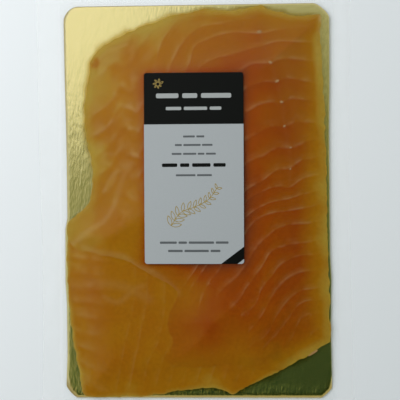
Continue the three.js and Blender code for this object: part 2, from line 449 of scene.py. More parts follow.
def ramp(tree: NodeTree, share: Node, stops: list, course: str = "LINEAR") -> Node:
    """Adds a colour ramp.

    Args:
        tree: the tree that it belongs to.
        share: what runs along the ramp, from 0 to 1.
        stops: the place and the colour of each stop, the first at 0 and the last at 1.
        course: how the ramp goes over from one colour to the next.

    Returns:
        The ramp.
    """
    node = add(tree, "ShaderNodeValToRGB", {0: share})
    node.color_ramp.interpolation = course
    drawn = node.color_ramp.elements
    drawn[0].color, drawn[1].color = stops[0][1], stops[-1][1]
    for at, colour in stops[1:-1]:
        drawn.new(at).color = colour
    return node


@dataclass(frozen=True)
class Finish:
    """A material, named for what the real thing is made of."""

    name: str

    def build(self) -> Material:
        """Makes the material."""
        material = bpy.data.materials.new(self.name)
        material.use_nodes = True
        tree = material.node_tree
        tree.nodes.clear()
        spot = add(tree, "ShaderNodeTexCoord").outputs["Object"]
        add(tree, "ShaderNodeOutputMaterial", {"Surface": self.surface(tree, spot)})
        return material

    def surface(self, tree: NodeTree, spot: NodeSocket) -> Node:
        """Draws the surface.

        Args:
            tree: the material's tree.
            spot: where the point is, in the object's own frame.

        Returns:
            The shader.
        """
        raise NotImplementedError


@dataclass(frozen=True)
class SmokedSalmonFlesh(Finish):
    """Cold-smoked salmon, sliced wet: even, moist and a little see-through.

    Thin flesh lets the gold behind it through and looks yellow, and thick flesh is a deep
    orange. A sheet of fat between two muscle blocks shows as a pale line that sets in softly
    on one side and ends sharply on the other.
    """

    name: str = "smoked_salmon_flesh"
    edge: str = "a3862f"
    thin: str = "9a650b"
    deep: str = "8d3f06"
    # The darkest stop, past the deep flesh, mostly reached in the painted shadow beside the label.
    painted_shadow: str = "6e3014"
    tones: tuple[float, ...] = (0.0, 0.3, 1.0, 1.6)  # how deep the flesh is at each of these
    # The fat's colour, which the pale streaks also go toward, one of them a painted highlight.
    fat: str = "c9b280"
    fat_shown: float = 0.105  # how much of the fat's own colour a line has
    block_shade: float = 0.2  # how much deeper the flesh is at one side of a muscle block
    # How much fat shows at some shares of the way from one line to the next.
    crisp: tuple = ((0.0, 0.8), (0.09, 0.0), (0.58, 0.0), (0.84, 0.35), (0.95, 1.0), (1.0, 0.8))
    broad: tuple = ((0.0, 0.8), (0.2, 0.0), (0.3, 0.0), (0.62, 0.5), (0.82, 0.75), (0.93, 1.0), (1.0, 0.8))
    sway: float = 0.15  # how far a line strays, as a share of the way to the next

    def surface(self, tree: NodeTree, spot: NodeSocket) -> Node:
        """Draws the flesh with both families of fat lines and its fine fibres."""
        fibre = noise(tree, spot, 2.2, 3.0)
        fat_a, shade_a = self.family(tree, spot, "a", self.crisp, self.block_shade)
        fat_b, shade_b = self.family(tree, spot, "b", self.broad, self.block_shade / 2)
        pale = calc(tree, "ADD", calc(tree, "MAXIMUM", fat_a, fat_b), kept(tree, "pale"), clamp=True)
        uneven = ranged(tree, noise(tree, spot, 24, 3.0), -0.13, 0.13, (0.3, 0.7))
        tone = calc(tree, "ADD", calc(tree, "ADD", kept(tree, "body"), uneven),
                    calc(tree, "ADD", shade_a, shade_b))
        deepest = self.tones[-1]
        flesh = ramp(tree, calc(tree, "DIVIDE", tone, deepest), [
            (at / deepest, linear(colour))
            for at, colour in zip(self.tones, (self.edge, self.thin, self.deep, self.painted_shadow))])
        mottled = tinted(tree, flesh, ranged(tree, fibre, 0.94, 1.06, (0.3, 0.7)))
        return add(tree, "ShaderNodeBsdfPrincipled", {
            "Base Color": blended(tree, pale, mottled, linear(self.fat)),
            "Normal": raised(tree, calc(tree, "MULTIPLY_ADD", fibre, 0.3, pale), 0.15, 0.4),
            "Roughness": 0.42, "IOR": 1.4, "Specular IOR Level": 0.05, "Subsurface Weight": 0.2,
            "Subsurface Radius": (1.0, 0.35, 0.1), "Subsurface Scale": 1.5 * MM})

    def family(self, tree: NodeTree, spot: NodeSocket, key: str, course: tuple,
               shade: float) -> tuple[Node, Node]:
        """Draws one family of fat lines, which lie where its grain is a whole number.

        Args:
            tree: the material's tree.
            spot: where the point is.
            key: the family's letter.
            course: how much fat shows at some shares of the way from one line to the next.
            shade: how much deeper the flesh is at one side of a block.

        Returns:
            How much fat shows, from 0 to 1, and how much deeper the flesh beside it looks.
        """
        drawn = kept(tree, f"lines_{key}")
        shift = calc(tree, "MULTIPLY_ADD", noise(tree, spot, 11, 2.0), self.sway, kept(tree, f"grain_{key}"))
        # The noise sits around a half, so half of its weight takes its mean back out of the sum.
        share = calc(tree, "FRACT", calc(tree, "SUBTRACT", shift, self.sway / 2))
        line = ramp(tree, share, [(at, (amount, amount, amount, 1)) for at, amount in course], "EASE")
        uneven = ranged(tree, noise(tree, spot, 7, 1.0), 0.12 * self.fat_shown, 1.25 * self.fat_shown,
                        (0.4, 0.66))
        # Flesh is deepest just past a line and lightens up to the next one.
        depth = calc(tree, "MULTIPLY", calc(tree, "SUBTRACT", 0.5, share), drawn)
        shown = calc(tree, "MULTIPLY", line, calc(tree, "MULTIPLY", drawn, uneven))
        return shown, calc(tree, "MULTIPLY", depth, shade)


@dataclass(frozen=True)
class GoldFoilCard(Finish):
    """Card faced with gold-lacquered foil: a satin metal, faintly drawn along its length.

    In a band round the slices and along the lower end, it is darker and greener.
    """

    name: str = "gold_foil_card"
    dry: str = "efdd9e"
    damp: str = "bf9f48"
    roughness: float = 0.2
    crinkle: float = 1.2  # how wide the foil's fine wrinkles are, in millimetres
    drawn: float = 0.3  # how much finer they are across the card than along it
    depth: float = 0.6  # how strongly they tilt it
    worn_depth: float = 2.0  # and how many times more where the foil is worn

    def surface(self, tree: NodeTree, spot: NodeSocket) -> Node:
        """Draws the wrinkled gold, with its darker, greener band."""
        along = add(tree, "ShaderNodeMapping", {"Vector": spot, "Scale": (1.0, self.drawn, 1.0)})
        more = calc(tree, "MULTIPLY_ADD", kept(tree, "worn"), self.worn_depth, 1.0)
        relief = calc(tree, "MULTIPLY", noise(tree, along, self.crinkle, 1.0), more)
        return add(tree, "ShaderNodeBsdfPrincipled", {
            "Base Color": blended(tree, kept(tree, "damp"), linear(self.dry), linear(self.damp)),
            "Metallic": 1.0, "Roughness": self.roughness, "Normal": raised(tree, relief, 0.1, self.depth)})


@dataclass(frozen=True)
class GrainyFinish(Finish):
    """A plain surface whose tint and height follow one noise."""

    colour: str
    roughness: float = 0.8
    sheen: float = 0.5
    speck: float = 0.8  # how wide the grain is, in millimetres
    detail: float = 4.0
    tints: tuple[float, float] = (0.9, 1.04)  # how dark and how light it gets
    tooth: tuple[float, float] = (0.03, 0.4)  # its height in millimetres and how strongly that shows
    depth: float = 0.0  # how much of the light goes into it, as into wax

    def surface(self, tree: NodeTree, spot: NodeSocket) -> Node:
        """Draws the surface with its grain."""
        grain = noise(tree, spot, self.speck, self.detail)
        return add(tree, "ShaderNodeBsdfPrincipled", {
            "Base Color": tinted(tree, linear(self.colour)[:3], ranged(tree, grain, *self.tints)),
            "Roughness": self.roughness, "Specular IOR Level": self.sheen,
            "Normal": raised(tree, grain, *self.tooth), "Subsurface Weight": self.depth,
            "Subsurface Radius": (1.0, 0.6, 0.4), "Subsurface Scale": 0.8 * MM})


@dataclass(frozen=True)
class BeadFat(GrainyFinish):
    """A bead of salmon fat: cream, waxy and moist."""

    name: str = "salmon_fat"
    colour: str = "a27d50"
    roughness: float = 0.5
    sheen: float = 0.1
    speck: float = 1.2
    detail: float = 2.0
    tints: tuple[float, float] = (0.8, 1.15)
    tooth: tuple[float, float] = (0.0, 0.0)
    depth: float = 0.3


@dataclass(frozen=True)
class PulpCard(GrainyFinish):
    """Bleached solid card, cut with a die: white, matt and slightly fibrous."""

    colour: str = "dcdad2"


@dataclass(frozen=True)
class PrintedPaper(GrainyFinish):
    """Coated label paper or a film of ink on it: smooth, with a low even sheen."""

    roughness: float = 0.36
    sheen: float = 0.3
    speck: float = 0.7
    detail: float = 2.0
    tints: tuple[float, float] = (0.96, 1.04)
    tooth: tuple[float, float] = (0.01, 0.3)


@dataclass(frozen=True)
class TablePaper(GrainyFinish):
    """Thick drawing paper that covers the table: white and matt, very slightly wavy."""

    name: str = "table_paper"
    colour: str = "e9ecef"
    roughness: float = 0.9
    speck: float = 14.0
    detail: float = 6.0
    tints: tuple[float, float] = (1.0, 1.0)
    tooth: tuple[float, float] = (0.4, 0.12)


class FilmSide(Enum):
    """Which side of a web of film a face is on, with the index that says how much it mirrors."""

    OUTER = 1.22  # open to the air: nylon's own 1.5 would veil the flesh, which the film is pressed to
    CONTACT = 1.12  # wetted by what it lies on, so that it hardly shines


@dataclass(frozen=True)
class PouchFilm(Finish):
    """Nylon and polythene pouch film, cast clear: a soft, glassy shine and almost no colour.

    Where it hangs loose beside the board it is a little hazy, and over wet flesh it is clear.
    """

    side: FilmSide
    frost: float = 0.0  # how milky the film is all over
    haze: float = 0.1  # and how much milkier where it hangs loose
    tint: str = "ffffff"
    milk: str = "f4f6f8"
    roughness: float = 0.2

    def surface(self, tree: NodeTree, spot: NodeSocket) -> Node:
        """Draws clear film, which mirrors as much of what leaves it as of what comes in."""
        bump = raised(tree, noise(tree, spot, 5, 3.0), 0.1, 0.25)
        base = add(tree, "ShaderNodeMixShader", {
            0: calc(tree, "MULTIPLY_ADD", kept(tree, "haze"), self.haze, self.frost),
            1: add(tree, "ShaderNodeBsdfTransparent", {"Color": linear(self.tint)}),
            2: add(tree, "ShaderNodeBsdfDiffuse", {"Color": linear(self.milk)})})
        behind = add(tree, "ShaderNodeNewGeometry").outputs["Backfacing"]
        index = calc(tree, "POWER", self.side.value, calc(tree, "MULTIPLY_ADD", behind, -2.0, 1.0))
        return add(tree, "ShaderNodeMixShader", {
            0: add(tree, "ShaderNodeFresnel", {"IOR": index, "Normal": bump}), 1: base,
            2: add(tree, "ShaderNodeBsdfAnisotropic", {"Roughness": self.roughness, "Normal": bump})})


# --- how the pack lies

# The edges of the slices, with the upper slice's outer edge running up the left
# side, along the top and down the right side.
UPPER_OUTER_EDGE = [
    (-80.8, -21), (-79.6, -12.4), (-69, -2.6), (-64.8, 8), (-64.9, 19), (-68.4, 43), (-69.4, 58), (-68, 69),
    (-67, 78.3), (-65.4, 87.6), (-62.2, 92.6), (-56.8, 97.4), (-49.2, 101.6), (-40, 105.6), (-29.7, 109.7),
    (-20.4, 112.9), (-11.1, 115.3), (-1.9, 117.2), (7.4, 118.4), (26, 117.8), (35, 119.7), (40, 120.1),
    (45, 117.6), (57, 114.9), (69, 113.7), (76.6, 114.4), (77, 110), (76.6, 99), (78.2, 70), (79.3, 20),
    (80.4, -30), (81.0, -60), (81.3, -78), (81.4, -85.2), (80.8, -87.3), (78.6, -88.6), (72.9, -91.8),
    (66, -96.2), (58.2, -100.7),
]
UPPER_LAID_EDGE = [
    (52.5, -103.4), (47, -104.4), (40, -103.6), (22, -100.2), (2, -102.4), (-19.5, -99), (-15.6, -87.5),
    (-18.8, -74), (-12.4, -56.5), (-29, -44.6), (-43, -36.6), (-66, -31.5), (-76, -29),
]
LOWER_OUTER_EDGE = [
    (-80.8, -26), (-80.5, -50), (-79.2, -72), (-76.4, -92), (-73, -110), (-71.4, -119.6), (-66, -120.6),
    (-36, -120.4), (-20.4, -118.8), (-11, -116.8), (-1.9, -115.7), (8, -115.5), (15, -116.6), (20.3, -119.3),
    (24.8, -117.2), (30.4, -114.5), (39.3, -110.2), (48.8, -105.2), (54, -101),
]
LOWER_TUCKED_EDGE = [
    (58, -90), (61, -50), (61, 0), (60, 50), (52, 86), (25, 97), (-15, 95), (-38, 82), (-47, 50), (-50, 12),
    (-62, -8), (-78, -16),
]


@dataclass(frozen=True)
class Stack:
    """What lies over some places of the board, with heights over the table."""

    in_upper: np.ndarray  # how far each place is inside the upper slice's outline
    in_lower: np.ndarray
    from_outer: np.ndarray  # how far it is from the upper slice's outer edge
    from_laid: np.ndarray  # and from the edge that is laid on the lower slice
    lower_floor: np.ndarray
    lower_top: np.ndarray
    upper_floor: np.ndarray
    upper_top: np.ndarray


@dataclass(frozen=True)
class Lay:
    """How the slices lie on the board and on each other."""

    upper: np.ndarray
    lower: np.ndarray
    outer_edge: np.ndarray
    laid_edge: np.ndarray
    rim: float = 0.25  # a slice's thickness at the very edge of its cut
    shoulder: float = 0.55  # the thickness where the rounded edge ends
    edge: float = 2.6  # how far in the rounded edge reaches
    lower_rise: float = 26.0  # how far in a slice takes to come up to its full height
    upper_rise: float = 42.0
    laid_rise: float = 40.0
    tucked_rise: float = 14.0
    hidden_from: float = 12.0  # how far under the upper slice the lower one has its tucked shape
    step: float = 2.0  # how far the upper slice takes to come down past the lower one's edge
    headroom: float = 0.1  # what the upper slice keeps free of its solid's height, for its swells
    crease: float = 0.8  # how softly its two slopes run together
    swell: float = 0.08

    def profile(self, depth: np.ndarray, full: float, rise: float) -> np.ndarray:
        """The height over the board of the outer part of a slice, by the distance in from its edge."""
        t = np.clip(depth / self.edge, 0, 1)
        cut = self.rim + (self.shoulder - self.rim) * np.sqrt(t * (2 - t))
        return cut + (full - self.shoulder) * smoothstep(depth, 0, rise)

    def at(self, points: np.ndarray) -> Stack:
        """Works out the slices' heights.

        Args:
            points: rows of x and y.

        Returns:
            The heights at every point, also where a slice has ended.
        """
        in_upper, in_lower = depth_inside(self.upper, points), depth_inside(self.lower, points)
        from_outer, from_laid = nearest(self.outer_edge, points)[0], nearest(self.laid_edge, points)[0]
        base = BOARD_TOP + CONTACT
        full = LOWER_TOP - base
        seen = self.profile(in_lower, full, self.lower_rise)
        tucked = self.rim + (full - self.rim) * smoothstep(in_lower, 0, self.tucked_rise)
        hidden = smoothstep(in_upper, 0, self.hidden_from)
        lower_top = base + seen * (1 - hidden) + tucked * hidden
        past = (self.rim + CONTACT) * (1 - smoothstep(-in_lower, 0, self.step))
        upper_floor = np.where(in_lower > 0, lower_top + CONTACT, base + past)
        full = UPPER_TOP - base - self.headroom
        domed = base + self.profile(from_outer, full, self.upper_rise)
        over = np.where(in_lower > 0, lower_top, base) + CONTACT + self.rim * 0.6
        laid = over + np.maximum(base + full - over, 0) * smoothstep(from_laid, 0, self.laid_rise)
        # The lower of the two, with their crease rounded off.
        gap = np.clip(0.5 + 0.5 * (laid - domed) / self.crease, 0, 1)
        upper_top = laid * (1 - gap) + domed * gap - self.crease * gap * (1 - gap)
        upper_top = upper_top + self.swell * ripple(points, 38, seed=5) * smoothstep(in_upper, 0, 20)
        return Stack(in_upper, in_lower, from_outer, from_laid, np.full(len(points), base), lower_top,
                     upper_floor, np.maximum(upper_top, upper_floor + self.rim * 0.5))

    def contents_top(self, points: np.ndarray) -> np.ndarray:
        """The highest of the board and the slices, or 0 past the board's edge."""
        stack = self.at(points)
        on_board = (np.abs(points) <= BOARD_SIZE / 2).all(1)
        height = np.where(on_board, BOARD_TOP, 0.0)
        height = np.where(stack.in_lower > 0, stack.lower_top, height)
        return np.where(stack.in_upper > 0, stack.upper_top, height)


def jagged(outline: np.ndarray, size: float, seed: int) -> np.ndarray:
    """Roughens a cut edge, in and out by up to size millimetres."""
    ring = np.arange(len(outline))
    along = np.column_stack([ring * 0.7, np.zeros(len(outline))])
    rough = 0.65 * ripple(along, 3.5, seed) + 0.35 * ripple(along, 1.3, seed + 1)
    start, end = (np.sin(np.clip(way / 12, 0, 1) * math.pi / 2) for way in (ring, ring[::-1]))
    return outline + outward(outline) * (rough * (start * end) * size)[:, None]


# --- fat lines

@dataclass(frozen=True)
class SeptumFamily:
    """Sheets of fat that cross a slice side by side, seen as lines numbered down the slice.

    A place between two lines gets the share of the way from one to the next, so that the
    lines themselves are the whole numbers.
    """

    lines: dict[int, list]
    spine: list = field(default_factory=lambda: [(0, -200), (0, 200)])  # the line where the septa kink
    upright: bool = False  # whether the lines run up the slice and are numbered across it
    # How many lines to a millimetre are too few to tell apart from the flesh, and how many too many.
    sparse: tuple[float, float] = (0.045, 0.08)
    crowded: tuple[float, float] = (0.2, 0.32)

    def grain(self, points: np.ndarray) -> np.ndarray:
        """How many lines lie before each point, with the part of the way to the next one."""
        turn = -1 if self.upright else 1
        spine = np.array(self.spine, float)
        spine = spine[spine[:, 1].argsort()]

        def unrolled(places: np.ndarray) -> tuple[np.ndarray, np.ndarray]:
            x, y = places[:, ::turn].T
            return x - np.interp(y, spine[:, 1], spine[:, 0]), y * turn
        across, down = unrolled(points)
        numbers = sorted(self.lines)
        heights = np.empty((len(numbers), len(points)))
        for row, number in enumerate(numbers):
            u, v = unrolled(spline(self.lines[number], 1.5))
            order = u.argsort()
            heights[row] = np.interp(across, u[order], v[order])
        heights = np.minimum.accumulate(heights - 1e-3 * np.arange(len(numbers))[:, None], axis=0)
        row = np.clip((heights > down).sum(0), 1, len(numbers) - 1)
        pick = np.arange(len(points))
        before, after = heights[row - 1, pick], heights[row, pick]
        start, step = np.array(numbers)[row - 1], np.diff(numbers)[row - 1]
        return start + step * (before - down) / (before - after)

    def shown(self, points: np.ndarray, step: float = 0.6) -> np.ndarray:
        """How clearly the lines show: they fade where they crowd together or run apart."""
        here = self.grain(points)
        slope = np.hypot(self.grain(points + (step, 0)) - here, self.grain(points + (0, step)) - here) / step
        return smoothstep(slope, *self.sparse) * (1 - smoothstep(slope, *self.crowded))


# The median line of the fish, where the septa of its back and its belly meet.
MEDIAN = [(30, 124), (37, 104), (41.5, 95), (46, 85), (49, 74), (52.5, 61), (55, 45.5), (58, 32), (57.5, 19),
          (56, 8), (57, -8), (62, -35), (63, -44), (63, -64), (60, -90), (52, -124)]
# Septa of the upper slice, each from its right edge to its left.
BACK_SEPTA = SeptumFamily({
    -1: [(86, 132), (40, 128), (10, 119), (-10, 112), (-20.5, 100), (-25.5, 82), (-30, 60)],
    0: [(86, 122), (50, 121), (36, 114), (18, 110), (4, 108), (-5, 102), (-11, 94), (-16, 82), (-22, 60)],
    1: [(86, 106), (60, 107), (39, 103), (30, 104), (21, 104), (5, 99), (-1, 95), (-4, 86), (-14, 60)],
    2: [(86, 96), (64, 97.5), (50, 98), (39, 94.5), (22, 90), (11, 87), (3, 82), (-8, 58)],
    3: [(86, 84), (70, 86), (60, 87), (50, 86), (45.5, 84), (34, 84), (29, 81), (10, 66), (-6, 44)],
    4: [(86, 70.5), (70, 73), (55, 75), (49.5, 73), (42, 73), (36, 71.5), (29, 68), (10, 52), (-6, 30)],
    5: [(86, 59), (70, 61.5), (58, 62.5), (52.5, 60), (45.5, 60), (38, 58.5), (29.5, 53.5), (10, 36),
        (-6, 14)],
    6: [(86, 46.5), (74, 48), (60, 48), (54, 45.5), (45.5, 45.5), (38, 41.5), (31, 38), (10, 20), (-6, -4)],
    7: [(86, 37), (71, 37), (64, 34.5), (58, 32.5), (49.5, 32.5), (38, 26), (29.5, 23), (10, 2), (-6, -20)],
    8: [(86, 29), (74, 26.5), (64.5, 24.5), (56.5, 20), (50, 19.5), (40, 12), (30, 6), (10, -14), (-6, -36)],
    9: [(86, 17), (74, 15.5), (66, 14), (56.5, 8), (52, 8.5), (45.5, 8), (39.5, 5.5), (30.5, 0), (10, -26),
        (-8, -52)],
    10: [(86, 8), (74, 6), (57, 1.5), (44, -1.5), (36, -5.5), (29.5, -11), (10, -34), (-5, -55), (-12, -75),
         (-16, -98), (-20, -125)],
    11: [(86, 0), (74, -3), (57, -6), (44, -8), (36, -11.5), (29.5, -19.5), (13, -42), (5.5, -53), (0, -66),
         (-5, -78), (-8, -100), (-10, -125)],
    12: [(86, -10), (72, -13.5), (58, -14.5), (50, -16.5), (42.5, -22), (36, -29), (26.5, -43.5),
         (15.5, -54.5), (10, -61), (7, -68), (3, -78), (1, -92), (0, -125)],
    13: [(86, -21), (74, -24.5), (60.5, -26.5), (52, -28), (45.5, -30.5), (39.5, -40), (29.5, -53.5),
         (26.5, -59), (21, -65), (15, -70.5), (11, -80), (9, -98), (8, -125)],
    14: [(86, -30), (74, -33), (62, -34), (50, -40), (45.5, -46.5), (39, -53.5), (36, -62.5), (26.5, -70.5),
         (21, -76), (18.5, -80), (16.5, -88), (15, -125)],
    15: [(86, -41), (75, -43), (63, -44), (55, -47.5), (48.5, -53.5), (38.5, -71.5), (34.5, -76.5),
         (29.5, -81.5), (26, -87), (23, -98), (21, -125)],
    16: [(86, -51.5), (76, -53.5), (64.5, -55), (58, -58.5), (48.5, -70), (44, -79.5), (39.5, -84.5),
         (34.5, -87), (29.5, -92.5), (25, -100), (22, -140)],
    17: [(86, -60), (76, -61), (64, -62.5), (58, -68), (48.5, -82), (42.5, -87.5), (37, -94), (34, -101),
         (29, -150)],
    18: [(86, -68), (76, -69), (64, -71.5), (57.5, -85), (53.5, -92.5), (49, -104), (44, -150)],
    19: [(86, -76), (76, -78), (68.5, -83), (66, -92), (62, -104), (56, -160)],
}, MEDIAN)
# Septa of the upper slice's left side step up to the right, in a flat W.
FLANK_SEPTA = SeptumFamily({
    -1: [(-14, 146), (-36, 110), (-44, 99), (-50, 101), (-64, 90), (-84, 78)],
    0: [(-14, 128), (-36, 94), (-44.5, 84), (-49.5, 86.5), (-64, 75), (-84, 62)],
    1: [(-14, 110), (-33, 78), (-41, 69), (-47, 72), (-51.5, 64.5), (-62.5, 55.5), (-84, 42)],
    2: [(-14, 92), (-34, 60), (-37, 55.5), (-45, 59.5), (-54.5, 47.5), (-62.5, 42.5), (-84, 30)],
    9: [(-14, 2), (-33, -36), (-38, -40), (-46, -34), (-55, -46), (-64, -52), (-84, -64)],
})
# Septa of the lower slice: shallow ones at its left edge and steep ones inside.
BELLY_SEPTA = SeptumFamily({
    -3: [(-38, -38), (-57, -36), (-76, -34), (-90, -33)],
    0: [(-38, -67), (-57, -63), (-76, -61), (-90, -60)],
    1: [(-38, -77), (-57, -72), (-76, -70.5), (-90, -69)],
    2: [(-38, -90), (-55.5, -84.5), (-76, -79.5), (-90, -77)],
    3: [(-38, -104), (-51.5, -96.5), (-73, -89), (-90, -84)],
    4: [(-38, -115), (-47, -109.5), (-72, -99.5), (-90, -92)],
    5: [(-38, -124), (-54.5, -118), (-69.5, -113.5), (-90, -107)],
})
TAIL_SEPTA = SeptumFamily({
    0: [(-56, -40), (-62, -80), (-68, -124)],
    1: [(-46, -45), (-52, -85), (-60, -124)],
    2: [(-38, -58), (-45, -89), (-52, -124)],
    3: [(-31, -60), (-36, -85), (-40.5, -104.5), (-44, -124)],
    4: [(-20, -66), (-25, -88), (-30, -97), (-36, -124)],
    12: [(44, -80), (36, -100), (28, -124)],
}, upright=True)


@dataclass(frozen=True)
class Streak:
    """A broad, faint pale band on the flesh where a fold or a hidden edge shows through; one is a painted
    highlight.
    """

    path: list
    width: float
    strength: float

    def shade(self, points: np.ndarray) -> np.ndarray:
        """How strongly the band shows at each point."""
        distance, _ = nearest(spline(self.path, 2.0), points)
        return self.strength * np.exp(-((distance / self.width) ** 2))


UPPER_STREAKS = [
    Streak([(-79, -27), (-66, -17), (-57, -11), (-50, 0)], 1.8, 0.13),
    Streak([(-50, 0), (-46, 14), (-40, 24)], 2.0, 0.07),
    Streak([(-70, -28.5), (-59, -32), (-45, -34.5), (-38, -40), (-28, -43.5)], 2.0, 0.12),
    Streak([(-28, -43.5), (-19, -50), (-13, -56)], 2.2, 0.08),
    Streak([(39, 103.7), (45.6, 84.5), (49.6, 73), (52.3, 60.3), (54, 45.5), (57, 30), (57, 10)], 0.9, 0.02),
    Streak([(-60, 88.6), (-56, 92.6), (-50, 95.3), (-43, 97)], 0.8, 0.12),
    # A painted highlight, where the slice's top right corner, under the tented film, catches the light.
    Streak([(77.1, 113.8), (76.3, 108.5), (75.2, 102)], 0.7, 0.45),
    Streak([(75.2, 102), (74.6, 92), (75.2, 80)], 1.0, 0.05),
    Streak([(-62.7, 42.2), (-57.1, 45.2), (-51.1, 50), (-45.1, 54.9)], 1.0, 0.06),
    Streak([(-44.3, 58), (-40.6, 58.3), (-36.9, 55.6), (-33.4, 60.2)], 0.9, 0.1),
    Streak([(-63.8, 55.4), (-56.4, 59.1), (-51.1, 64.1), (-48.9, 66.2)], 1.0, 0.06),
    Streak([(-42.1, 44.5), (-39, 45.6), (-34.7, 43)], 0.9, 0.08),
    Streak([(-58.6, 27.2), (-55.6, 29.9), (-50.4, 29.5), (-46.6, 34.7)], 1.0, 0.08),
    Streak([(-42.1, 29.5), (-38.4, 29.1), (-34.7, 27.2)], 0.9, 0.09),
    Streak([(-57.8, 6.2), (-53.3, 15.2), (-48.8, 19.7)], 1.1, 0.1),
    Streak([(-51, -2), (-46, -6), (-41, -9.5)], 0.6, 0.05),
    Streak([(-48, -14), (-43.5, -8), (-40.5, -4)], 0.6, 0.06),
]
LOWER_STREAKS = [
    Streak([(-58, -59), (-49, -62), (-40, -55), (-34, -52)], 1.8, 0.06),
    Streak([(-76, -52), (-60, -50), (-44, -53), (-30, -60)], 2.8, 0.05),
]
# A small flap folded over at the upper slice's top left corner, where the flesh is double.
FLAP = Streak([(-65, 86), (-63, 83.9), (-61.8, 85.5), (-62, 88)], 1.5, 0.34)
# A deeper band that runs down the upper slice from the label's lower left.
DEEP_BAND = Streak([(-17, -48), (-17, -72), (-14, -86)], 9.5, 0.27)
# Beads of fat where the septa cross the median, and a sliver at the lower right edge:
# x, y, length, width and the turn of each in degrees.
FAT_BEADS = [(39.0, 103.7, 3.0, 2.0, 15), (45.6, 84.5, 2.6, 1.6, -20), (49.6, 73.0, 2.8, 1.5, 30),
             (52.3, 60.3, 2.3, 1.4, 0), (53.9, 45.5, 2.0, 1.2, 40), (57.6, 32.4, 1.7, 1.0, 10),
             (57.4, 19.3, 1.5, 0.9, 60), (70.6, -93.8, 7.0, 1.4, 33)]


# --- the slices

